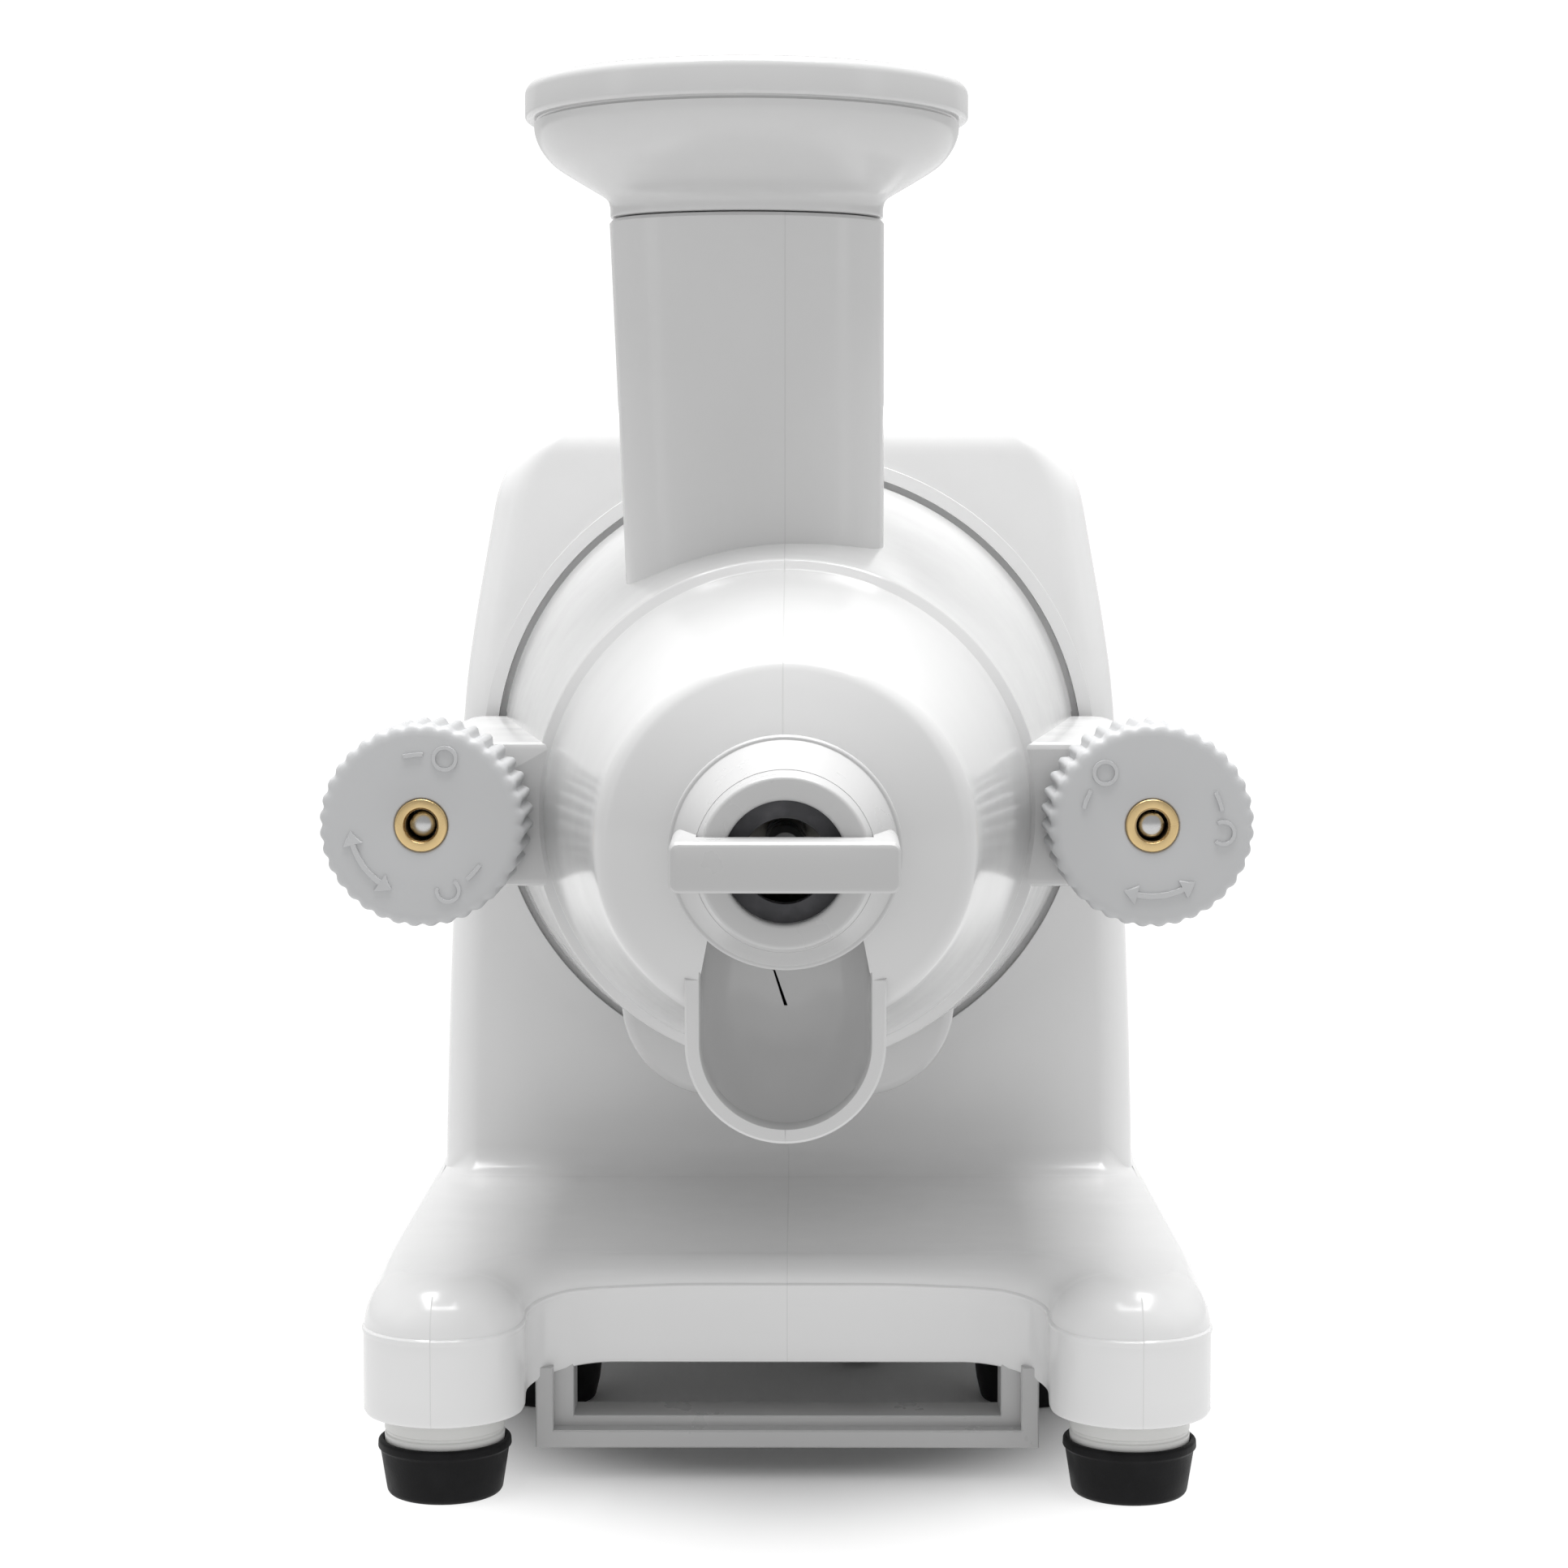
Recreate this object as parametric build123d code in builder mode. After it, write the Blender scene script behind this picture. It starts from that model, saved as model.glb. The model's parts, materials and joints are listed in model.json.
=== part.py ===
from build123d import *
import math
import os

os.makedirs("parts", exist_ok=True)

# A horizontal auger juicer. Millimetres, +Z up, the front faces -Y.
# The origin lies on the table, under the middle of the whole machine.

# ---- driving sizes -------------------------------------------------------------
wall = 3.0                    # thickness of the white plastic shells
fit_gap = 0.3                 # gap between pieces that move apart by hand
running_gap = 0.05            # radial clearance of a shaft in its bush

axis_height = 148.0           # auger axis above the table
face_y = 45.0                 # front face of the motor tower
tower_depth = 143.0           # tower, front face to rear edge
tower_half_base = 91.2        # half width of the tower at its foot
tower_half_mid = 87.0
tower_half_top = 63.5         # where the sides would meet the roof line
tower_rise = 93.0             # roof above the auger axis
tower_corner = 24.0
tower_foot = 30.0             # height at which the tower outline starts
cover_depth = 7.1             # rear cover, beyond the tower's edge
cover_edge = 4.0

deck_height = 48.0            # top of the base
deck_round = 9.0
deck_side = 92.0              # half width of the base
skirt_bottom = 18.0
arch_bottom = 25.0            # lower edge of the skirt between the front legs
arch_y = -61.5                # front of that set-back skirt
leg_x = 74.5
leg_y = -74.5
leg_radius = 17.5
leg_inner_round = 7.0
rear_corner = 12.0

post_radius = 13.05
post_bottom = 6.0
post_top = 36.0
foot_height = 12.3
foot_top_radius = 14.3
foot_bottom_radius = 12.4
foot_floor = 5.0
inner_foot_x = 58.0
middle_foot_y = 6.5
rear_foot_y = 165.0
inner_foot_radius = 13.0
bumper_x = 18.0
bumper_y = 40.0
bumper_radius = 6.5
base_plate_height = 27.0      # underside of the base plate
base_plate_thickness = 2.5

frame_half = 55.5             # tray frame under the arch
frame_bottom = 7.0
frame_border = 3.9
frame_lip = 4.3
frame_depth = 16.0
frame_rabbet = 4.0

recess_radius = 73.4          # round pocket in the tower that the drum plugs into
recess_lift = 4.4             # the pocket is that much taller than wide
recess_depth = 15.0
lip_height = 3.0
lip_width = 3.4
flange_gap = 1.2              # dark gap round the drum flange
gasket_thickness = 2.0

bell_length = 119.0           # drum, mouth to shoulder
bell_mouth_radius = 71.4
bell_front_radius = 54.6
shoulder_radius = 52.0
cone_length = 55.0
cone_front_radius = 40.0
dome_length = 25.0
nozzle_length = 21.0
nozzle_radius = 16.5
nozzle_bore = 12.0
lug_half_height = 15.5
lug_reach = 86.6              # outer end of the lugs
lug_corner = 11.0
lug_front_y = -76.0
lug_back_y = 38.0
boss_inner_x = 68.0           # the tower's stud bosses reach in to here
boss_gap = 1.0                # between a boss and the flat cut in the drum
mouth_rim = 8.9               # radial thickness of the drum's rear rim
mouth_rim_depth = 24.0

stud_x = 75.3
stud_radius = 2.8
stud_gap = 0.6                # round a stud, in the lugs and inserts
stud_washer_room = 2.2          # between a stud's inner washer and the sloping side wall
stud_front_y = -102.5
knob_radius = 21.1
knob_length = 27.0
knob_teeth = 36
insert_radius = 5.5
insert_length = 14.0
washer_thickness = 1.6
washer_radius = 12.0

cap_flange_radius = 22.1
cap_flange_thickness = 3.0
cap_cone_radius = 21.1
cap_face_radius = 15.6
cap_length = 22.5
cap_hole = 11.3
cap_web = 3.5
bar_half_length = 20.8
bar_height = 9.2
bar_proud = 10.0
bar_depth = 26.0
seal_hole = 7.9
seal_thickness = 4.0

tube_x = -9.15                # feed tube, above the drum
tube_y = -37.5
tube_half_width = 30.65
tube_half_depth = 20.5
tube_rise = 130.0             # top of the feed tube above the auger axis
tube_foot_x = -6.8
tube_foot_half_width = 28.4
tube_foot_rise = 24.0
bowl_radius = 46.6
bowl_height = 21.0
rim_radius = 49.3
rim_height = 8.3
spigot_depth = 14.0

chute_half = 19.35
chute_wall = 2.85
chute_depth = 57.3            # bottom of the pulp chute below the auger axis
chute_front_y = -147.5
chute_slope = 40.0
chute_pocket = 10.0
spout_half = 38.4             # juice outlet under the drum
spout_depth = 69.4
spout_front_y = -26.0
spout_back_y = 24.0
spout_hole = 8.0

strainer_radius = 31.0
strainer_wall = 2.6
mesh_wall = 1.0
mesh_rings = 7
mesh_holes = 18
mesh_hole_radius = 1.6
auger_gap = 0.8
auger_core = 12.0
auger_pitch = 32.0
flight_thickness = 5.0
shank_flats = 13.0

module_slow = 1.25            # last gear pair
teeth_output = 60
teeth_idler_pinion = 12
module_fast = 1.0             # first gear pair
teeth_idler = 56
teeth_motor = 14
gear_backlash = 0.3
motor_height = 95.0           # motor shaft above the table
gear_width = 10.0
idler_width = 6.0
output_shaft_radius = 11.0
idler_shaft_radius = 5.0
motor_shaft_radius = 4.0
bush_wall = 3.0
journal_radius = 6.0

stator_radius = 38.0
stator_length = 26.0
stator_bore = 22.0
rotor_gap = 0.5
coil_length = 7.0
bell_plate = 3.0
fan_length = 10.0
fan_radius = 32.0
fan_blades = 9

case_half_width = 53.0
case_half_height = 68.0
case_x = 10.0
case_wall = 4.0

# ---- stations along the auger axis ---------------------------------------------
lip_y = face_y - lip_height
recess_y = face_y + recess_depth
tower_back = face_y + tower_depth
cover_back = tower_back + cover_depth
drum_back = recess_y - gasket_thickness
shoulder_y = lip_y - bell_length
cone_y = shoulder_y - cone_length
dome_y = cone_y - dome_length
nozzle_y = dome_y - nozzle_length
tower_top = axis_height + tower_rise
tube_top = axis_height + tube_rise
tube_foot_height = axis_height + tube_foot_rise
stud_hole = stud_radius + stud_gap
stud_washer_radius = tower_half_mid - wall - stud_x - stud_washer_room

case_front = recess_y + wall + 1.0
output_gear_front = case_front + case_wall + 4.0
idler_gear_front = output_gear_front + gear_width + 2.0
cover_plate_front = idler_gear_front + idler_width + 2.0
case_back = cover_plate_front + case_wall
motor_front = case_back + 1.0
coil_front = motor_front + bell_plate + 1.0
stator_front = coil_front + coil_length
stator_back = stator_front + stator_length
coil_back = stator_back + coil_length
motor_back = coil_back + 1.0 + bell_plate
fan_front = motor_back + 3.0
fan_back = fan_front + fan_length

motor_drop = axis_height - motor_height
slow_centre = module_slow * (teeth_output + teeth_idler_pinion) / 2
fast_centre = module_fast * (teeth_idler + teeth_motor) / 2
idler_drop = (slow_centre**2 - fast_centre**2 + motor_drop**2) / (2 * motor_drop)
idler_x = math.sqrt(slow_centre**2 - idler_drop**2)
idler_height = axis_height - idler_drop

strainer_front = cone_y + 1.0
strainer_back = lip_y - 6.0
mesh_back = shoulder_y + 16.0
flight_radius = strainer_radius - strainer_wall - auger_gap


# ---- helpers -------------------------------------------------------------------
def front(y):
    """Sketch plane across the machine at y: local x is X, local y is Z, extrudes to -Y."""
    return Plane.XZ.offset(-y)


def turn(points, x=0.0, z=axis_height, mode=Mode.ADD):
    """Turns a closed half outline of (y, radius) points about the Y line through x, z."""
    with BuildSketch(Plane.YZ.offset(x)) as outline:
        with BuildLine():
            Polyline([(y, z + radius) for y, radius in points], close=True)
        make_face()
    revolve(outline.sketch, axis=Axis((x, 0, z), (0, 1, 0)), mode=mode)


def rod(y_front, y_back, radius, x=0.0, z=axis_height, mode=Mode.ADD):
    """A round bar along Y."""
    with BuildSketch(front(y_back)) as outline:
        with Locations((x, z)):
            Circle(radius)
    extrude(outline.sketch, amount=y_back - y_front, mode=mode)


def ring(y_front, y_back, outer, inner, x=0.0, z=axis_height, mode=Mode.ADD):
    """A plain tube along Y."""
    with BuildSketch(front(y_back)) as outline:
        with Locations((x, z)):
            Circle(outer)
            Circle(inner, mode=Mode.SUBTRACT)
    extrude(outline.sketch, amount=y_back - y_front, mode=mode)


def post(z_low, z_high, radius, x, y, mode=Mode.ADD):
    """A round bar standing up."""
    with BuildSketch(Plane.XY.offset(z_low)) as outline:
        with Locations((x, y)):
            Circle(radius)
    extrude(outline.sketch, amount=z_high - z_low, mode=mode)


def block(x_range, y_range, z_range, mode=Mode.ADD):
    """A plain block between two corners."""
    middle = [(low + high) / 2 for low, high in (x_range, y_range, z_range)]
    with Locations(tuple(middle)):
        Box(x_range[1] - x_range[0], y_range[1] - y_range[0], z_range[1] - z_range[0], mode=mode)


def tower_outline(y, inset):
    """Front view of the motor tower, drawn on the plane at y."""
    half_height = (tower_foot + tower_top) / 2
    with BuildSketch(front(y)) as outline:
        with BuildLine():
            right = ThreePointArc(
                (tower_half_base, tower_foot), (tower_half_mid, half_height), (tower_half_top, tower_top)
            )
            left = mirror(right, about=Plane.YZ)
            Line((tower_half_top, tower_top), (-tower_half_top, tower_top))
            Line((tower_half_base, tower_foot), (-tower_half_base, tower_foot))
        make_face()
        fillet(outline.vertices().group_by(Axis.Z)[-1], tower_corner)
        if inset:
            offset(amount=-inset, kind=Kind.INTERSECTION)
    return outline.sketch


def deck_outline(z, inset):
    """Plan of the base: straight sides, round front legs and a set-back skirt between them."""
    with BuildSketch(Plane.XY.offset(z)) as outline:
        with BuildLine():
            Polyline(
                (-deck_side, leg_y),
                (-deck_side, tower_back),
                (deck_side, tower_back),
                (deck_side, leg_y),
                (leg_x - leg_radius, leg_y),
                (leg_x - leg_radius, arch_y),
                (-leg_x + leg_radius, arch_y),
                (-leg_x + leg_radius, leg_y),
                close=True,
            )
        make_face()
        fillet(outline.vertices().group_by(Axis.Y)[1], leg_inner_round)
        fillet(outline.vertices().group_by(Axis.Y)[-1], rear_corner)
        with Locations((-leg_x, leg_y), (leg_x, leg_y)):
            Circle(leg_radius)
        if inset:
            offset(amount=-inset, kind=Kind.INTERSECTION)
    return outline.sketch


def recess_outline(y, radius):
    """The slightly tall round that the drum flange and its pocket share."""
    with BuildSketch(front(y)) as outline:
        with Locations((0, axis_height + recess_lift / 2)):
            SlotCenterToCenter(recess_lift, 2 * radius, rotation=90)
    return outline.sketch


def tube_outline(z, x, half_width, half_depth):
    """Oval section of the feed tube."""
    with BuildSketch(Plane.XY.offset(z)) as outline:
        with Locations((x, tube_y)):
            Ellipse(half_width, half_depth)
    return outline.sketch


def chute_outline(y, half, depth):
    """U section of the pulp chute: straight sides and a half round bottom."""
    top = axis_height - nozzle_radius
    centre = axis_height - depth + half
    with BuildSketch(front(y)) as outline:
        with Locations((0, centre)):
            Circle(half)
        with Locations((0, (centre + top) / 2)):
            Rectangle(2 * half, top - centre)
    return outline.sketch


def gear_outline(y, teeth, module, x, z, tooth_towards):
    """Involute spur gear on the plane at y, one tooth pointing at the angle given in radians."""
    pitch = teeth * module / 2
    base = pitch * math.cos(math.radians(20))
    tip = pitch + 0.7 * module
    root = pitch - module
    start = max(base, root)

    def involute(radius):
        angle = math.acos(base / radius)
        return math.tan(angle) - angle

    half = math.pi / (2 * teeth) - gear_backlash / (4 * pitch)
    flank = [(r, half + involute(pitch) - involute(r)) for r in (start, pitch, tip)]
    if root < base:
        flank = [(root, flank[0][1])] + flank
    points = []
    for tooth in range(teeth):
        middle = tooth_towards + 2 * math.pi * tooth / teeth
        for radius, width in flank:
            points.append((x + radius * math.cos(middle - width), z + radius * math.sin(middle - width)))
        for radius, width in reversed(flank):
            points.append((x + radius * math.cos(middle + width), z + radius * math.sin(middle + width)))
    with BuildSketch(front(y)) as outline:
        with BuildLine():
            Polyline(points, close=True)
        make_face()
    return outline.sketch


def finish(piece, name):
    """Labels a finished piece and writes it."""
    piece.part.label = name
    export_step(piece.part, f"parts/{name}.step")


# ---- tower and base: one white moulding ------------------------------------------
shaft_seal_radius = output_shaft_radius + 5.0
hollow_front = recess_y + wall
base_inner = deck_side - wall
base_pillar_top = deck_height - deck_round - 1.0
pillar_low_x = tower_half_base - wall - 4.5
pillar_high_z = tower_top - wall - 4.5
cover_screw_places = [(x, pillar_high_z) for x in (-40, 40)] + [(x, 62) for x in (-pillar_low_x, pillar_low_x)]
base_screw_places = [(x, y) for x in (-base_inner + 3.5, base_inner - 3.5) for y in (arch_y + 22, tower_back - 26)]
with BuildPart() as body_shell:
    extrude(deck_outline(skirt_bottom, 0), amount=deck_height - skirt_bottom)
    top_edges = body_shell.faces().sort_by(Axis.Z)[-1].edges()
    fillet(top_edges, deck_round)
    extrude(tower_outline(tower_back, 0), amount=tower_depth)
    # rounded bead round the drum pocket
    extrude(recess_outline(recess_y + wall, recess_radius + lip_width), amount=recess_y + wall - lip_y)
    # hollow of the tower, behind the pocket floor
    extrude(tower_outline(tower_back, wall), amount=tower_back - hollow_front, mode=Mode.SUBTRACT)
    # hollow of the base, closed at the front by the skirt
    block(
        (-base_inner, base_inner),
        (arch_y + wall, tower_back - rear_corner),
        (skirt_bottom - 1, deck_height - wall),
        mode=Mode.SUBTRACT,
    )
    block(
        (-base_inner + rear_corner, base_inner - rear_corner),
        (tower_back - rear_corner - 1, tower_back - wall),
        (skirt_bottom - 1, deck_height - wall),
        mode=Mode.SUBTRACT,
    )
    # the arch between the legs sits higher than the legs
    block(
        (-leg_x + leg_radius, leg_x - leg_radius),
        (leg_y - leg_radius, arch_y + wall + 1),
        (skirt_bottom - 1, arch_bottom),
        mode=Mode.SUBTRACT,
    )
    # leg sockets for the foot posts
    for side_sign in (-1, 1):
        post(skirt_bottom - 1, post_top, post_radius, side_sign * leg_x, leg_y, mode=Mode.SUBTRACT)
    # drum pocket, and the hole and seat of the shaft seal
    extrude(recess_outline(recess_y, recess_radius), amount=recess_depth + lip_height, mode=Mode.SUBTRACT)
    rod(recess_y - 1, hollow_front + 1, shaft_seal_radius, mode=Mode.SUBTRACT)
    # bosses that hold the studs, standing out of the front face to meet the drum's lugs
    with BuildSketch(front(hollow_front)) as bosses:
        with Locations((0, axis_height)):
            RectangleRounded(2 * lug_reach, 2 * lug_half_height, lug_corner)
            Rectangle(2 * boss_inner_x, 4 * lug_half_height, mode=Mode.SUBTRACT)
    extrude(bosses.sketch, amount=hollow_front - lug_back_y - fit_gap)
    for side_sign in (-1, 1):
        rod(hollow_front - 1, hollow_front + 6, 7, side_sign * stud_x)
        rod(lug_back_y - 1, hollow_front + 7, stud_radius, side_sign * stud_x, mode=Mode.SUBTRACT)
    # pillars for the base plate screws
    for pillar_x, pillar_y in base_screw_places:
        post(base_plate_height + base_plate_thickness, base_pillar_top, 4.5, pillar_x, pillar_y)
        post(base_plate_height, base_pillar_top - 1.5, 1.4, pillar_x, pillar_y, mode=Mode.SUBTRACT)
    # pillars for the rear cover screws, joined to the roof and side walls
    for pillar_x, pillar_z in cover_screw_places:
        rod(tower_back - 16, tower_back - 2, 5.5, pillar_x, pillar_z)
        rod(tower_back - 13, tower_back, 1.5, pillar_x, pillar_z, mode=Mode.SUBTRACT)
finish(body_shell, "body_shell")


# ---- rear cover with its air slots ---------------------------------------------------
switch_x = 42.0
switch_z = 84.0
switch_half_width = 8.0
switch_half_height = 12.0
inlet_x = -42.0
inlet_z = 74.0
inlet_radius = 8.0
with BuildPart() as rear_cover:
    extrude(tower_outline(cover_back, 0), amount=cover_depth)
    back_edges = rear_cover.faces().sort_by(Axis.Y)[-1].edges()
    fillet(back_edges, cover_edge)
    extrude(tower_outline(cover_back - wall, wall + 1), amount=cover_depth - wall, mode=Mode.SUBTRACT)
    for place_x, place_z in cover_screw_places:
        rod(tower_back, cover_back - wall, 5.5, place_x, place_z)
        rod(tower_back - 1, cover_back, 1.9, place_x, place_z, mode=Mode.SUBTRACT)
        rod(cover_back - 2.2, cover_back + 1, 3.6, place_x, place_z, mode=Mode.SUBTRACT)
    with BuildSketch(front(cover_back + 1)) as slots:
        for row in range(9):
            with Locations((-24, axis_height + 56 - 9 * row), (24, axis_height + 56 - 9 * row)):
                SlotOverall(40, 3.6)
    extrude(slots.sketch, amount=wall + 2, mode=Mode.SUBTRACT)
    with BuildSketch(front(cover_back + 1)) as ports:
        with Locations((switch_x, switch_z)):
            Rectangle(2 * switch_half_width, 2 * switch_half_height)
        with Locations((inlet_x, inlet_z)):
            Circle(inlet_radius)
    extrude(ports.sketch, amount=wall + 2, mode=Mode.SUBTRACT)
finish(rear_cover, "rear_cover")

with BuildPart() as switch_bezel:
    block(
        (switch_x - switch_half_width - 2, switch_x + switch_half_width + 2),
        (cover_back, cover_back + 1.2),
        (switch_z - switch_half_height - 2, switch_z + switch_half_height + 2),
    )
    block(
        (switch_x - switch_half_width + 0.1, switch_x + switch_half_width - 0.1),
        (cover_back - 16, cover_back),
        (switch_z - switch_half_height + 0.1, switch_z + switch_half_height - 0.1),
    )
    block(
        (switch_x - switch_half_width + 1.6, switch_x + switch_half_width - 1.6),
        (cover_back - 13, cover_back + 2),
        (switch_z - switch_half_height + 1.6, switch_z + switch_half_height - 1.6),
        mode=Mode.SUBTRACT,
    )
finish(switch_bezel, "switch_bezel")

# rocker: a wedge on a pin across the bezel, level in its middle position
rocker_pivot_y = cover_back - 6.0
with BuildPart() as switch_rocker:
    with BuildSketch(Plane.YZ.offset(switch_x - switch_half_width + 2.0)) as rocker_side:
        with BuildLine():
            Polyline(
                (rocker_pivot_y - 2, switch_z),
                (cover_back - 1.5, switch_z - 9.2),
                (cover_back + 2.4, switch_z - 8.8),
                (cover_back + 0.8, switch_z),
                (cover_back + 2.4, switch_z + 8.8),
                (cover_back - 1.5, switch_z + 9.2),
                close=True,
            )
        make_face()
    extrude(rocker_side.sketch, amount=2 * switch_half_width - 4.0)
finish(switch_rocker, "switch_rocker")

# mains lead inlet: a flanged bushing; the lead itself isn't part of the model
with BuildPart() as cord_inlet:
    ring(cover_back, cover_back + 2.0, inlet_radius + 2, 3.6, inlet_x, inlet_z)
    ring(cover_back - 8.0, cover_back, inlet_radius - 0.1, 3.6, inlet_x, inlet_z)
finish(cord_inlet, "cord_inlet")


def screw(y_head, length, radius, head_radius, head_length, x, z, into):
    """A round-headed screw along Y; into is +1 or -1, the way its tip points."""
    ends = sorted((y_head, y_head + into * length))
    rod(ends[0], ends[1], radius, x, z)
    head = sorted((y_head, y_head - into * head_length))
    rod(head[0], head[1], head_radius, x, z)


with BuildPart() as cover_screws:
    for place_x, place_z in cover_screw_places:
        screw(cover_back - 2.2, cover_depth + 8, 1.45, 3.3, 1.6, place_x, place_z, -1)
finish(cover_screws, "cover_screws")

# ---- base plate, feet and tray frame ----------------------------------------------------
plate_gap = 0.4
plate_top = base_plate_height + base_plate_thickness
plate_side = base_inner - plate_gap
inner_feet = [(x, y) for y in (middle_foot_y, rear_foot_y) for x in (-inner_foot_x, inner_foot_x)]
with BuildPart() as base_plate:
    block(
        (-plate_side, plate_side),
        (arch_y + wall + plate_gap, tower_back - rear_corner - plate_gap),
        (base_plate_height, plate_top),
    )
    block(
        (-plate_side + rear_corner, plate_side - rear_corner),
        (tower_back - rear_corner - plate_gap, tower_back - wall - plate_gap),
        (base_plate_height, plate_top),
    )
    for foot_x, foot_y in inner_feet:
        post(foot_height - 4, base_plate_height, inner_foot_radius - 3, foot_x, foot_y)
    post(foot_height - 4, base_plate_height, bumper_radius - 2, bumper_x, bumper_y)
    for place_x, place_y in base_screw_places:
        post(base_plate_height - 1, plate_top + 1, 1.8, place_x, place_y, mode=Mode.SUBTRACT)
    with BuildSketch(Plane.XY.offset(base_plate_height)) as floor_slots:
        for row in range(7):
            with Locations((0, middle_foot_y + 50 + 9 * row)):
                SlotOverall(60, 3.6)
    extrude(floor_slots.sketch, amount=base_plate_thickness, mode=Mode.SUBTRACT)
finish(base_plate, "base_plate")

with BuildPart() as base_screws:
    for place_x, place_y in base_screw_places:
        post(base_plate_height, base_pillar_top - 2.0, 1.35, place_x, place_y)
        post(base_plate_height - 1.6, base_plate_height, 3.2, place_x, place_y)
finish(base_screws, "base_screws")

for side_name, side_sign in (("left", -1), ("right", 1)):
    with BuildPart() as foot_post:
        post(post_bottom, post_top, post_radius, side_sign * leg_x, leg_y)
        chamfer(foot_post.edges().group_by(Axis.Z)[-1], 1.0)
    finish(foot_post, f"foot_post_{side_name}")

    with BuildPart() as front_foot:
        with BuildSketch(Plane.XZ.offset(-leg_y)) as cup:
            with BuildLine():
                Polyline(
                    (side_sign * leg_x, 0),
                    (side_sign * leg_x + foot_bottom_radius - 2, 0),
                    (side_sign * leg_x + foot_bottom_radius, 2),
                    (side_sign * leg_x + foot_top_radius, foot_height - 1),
                    (side_sign * leg_x + foot_top_radius - 0.4, foot_height),
                    (side_sign * leg_x + post_radius, foot_height),
                    (side_sign * leg_x + post_radius, post_bottom),
                    (side_sign * leg_x, post_bottom),
                    close=True,
                )
            make_face()
        revolve(cup.sketch, axis=Axis((side_sign * leg_x, leg_y, 0), (0, 0, 1)))
    finish(front_foot, f"foot_front_{side_name}")

for foot_name, foot_y in (("feet_middle", middle_foot_y), ("feet_rear", rear_foot_y)):
    with BuildPart() as inner_foot_pair:
        for foot_x in (-inner_foot_x, inner_foot_x):
            post(0, foot_height + 2, inner_foot_radius, foot_x, foot_y)
            post(foot_height - 4, foot_height + 3, inner_foot_radius - 3, foot_x, foot_y, mode=Mode.SUBTRACT)
        chamfer(inner_foot_pair.edges().group_by(Axis.Z)[0], 1.5)
    finish(inner_foot_pair, foot_name)

with BuildPart() as centre_bumper:
    post(2.0, foot_height + 2, bumper_radius, bumper_x, bumper_y)
    chamfer(centre_bumper.edges().group_by(Axis.Z)[0], 1.0)
    post(foot_height - 4, foot_height + 3, bumper_radius - 2, bumper_x, bumper_y, mode=Mode.SUBTRACT)
finish(centre_bumper, "centre_bumper")

# tray frame: a U with a rabbeted front edge, hung under the arch
frame_front = arch_y - 4.0
with BuildPart() as tray_frame:
    block((-frame_half, frame_half), (frame_front, frame_front + frame_depth), (frame_bottom, arch_bottom))
    opening_half = frame_half - frame_border - frame_lip
    opening_bottom = frame_bottom + frame_border + frame_lip - 2.0
    block(
        (-opening_half, opening_half),
        (frame_front - 1, frame_front + frame_depth + 1),
        (opening_bottom, arch_bottom + 1),
        mode=Mode.SUBTRACT,
    )
    block(
        (-frame_half + frame_border, frame_half - frame_border),
        (frame_front - 1, frame_front + frame_rabbet),
        (frame_bottom + 2.4, arch_bottom + 1),
        mode=Mode.SUBTRACT,
    )
finish(tray_frame, "tray_frame")

# ---- studs that hold the drum -----------------------------------------------------------
for side_name, side_sign in (("left", -1), ("right", 1)):
    with BuildPart() as stud:
        rod(stud_front_y, hollow_front + 16, stud_radius, side_sign * stud_x)
        chamfer(stud.edges().group_by(Axis.Y)[0], 0.6)
    finish(stud, f"stud_{side_name}")

with BuildPart() as stud_nuts:
    for side_sign in (-1, 1):
        with BuildSketch(front(hollow_front + 13)) as nut:
            with Locations((side_sign * stud_x, axis_height)):
                RegularPolygon(5.8, 6)
                Circle(stud_radius, mode=Mode.SUBTRACT)
        extrude(nut.sketch, amount=5.0)
finish(stud_nuts, "stud_nuts")

with BuildPart() as stud_washers:
    for side_sign in (-1, 1):
        ring(hollow_front + 6, hollow_front + 8, stud_washer_radius, stud_radius, side_sign * stud_x)
finish(stud_washers, "stud_washers")

# ---- gearbox ----------------------------------------------------------------------------
case_z = axis_height - motor_drop / 2 + 6.5
case_corners = [
    (case_x + sx * (case_half_width - 7), case_z + sz * (case_half_height - 7))
    for sx in (-1, 1)
    for sz in (-1, 1)
]
with BuildPart() as gearbox_case:
    with BuildSketch(front(cover_plate_front)) as case_outer:
        with Locations((case_x, case_z)):
            RectangleRounded(2 * case_half_width, 2 * case_half_height, 12)
    extrude(case_outer.sketch, amount=cover_plate_front - case_front)
    with BuildSketch(front(cover_plate_front)) as case_inner:
        with Locations((case_x, case_z)):
            RectangleRounded(2 * (case_half_width - case_wall), 2 * (case_half_height - case_wall), 8)
    extrude(
        case_inner.sketch, amount=cover_plate_front - case_front - case_wall, mode=Mode.SUBTRACT
    )
    for corner_x, corner_z in case_corners:
        rod(case_front, cover_plate_front, 6.5, corner_x, corner_z)
        rod(cover_plate_front - 12, cover_plate_front, 1.8, corner_x, corner_z, mode=Mode.SUBTRACT)
    rod(case_front, case_front + 7, idler_shaft_radius + bush_wall + 3, idler_x, idler_height)
    rod(
        case_front - 1,
        case_front + 8,
        idler_shaft_radius + bush_wall,
        idler_x,
        idler_height,
        mode=Mode.SUBTRACT,
    )
    rod(case_front - 1, case_front + case_wall + 1, output_shaft_radius + bush_wall, mode=Mode.SUBTRACT)
finish(gearbox_case, "gearbox_case")

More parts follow.
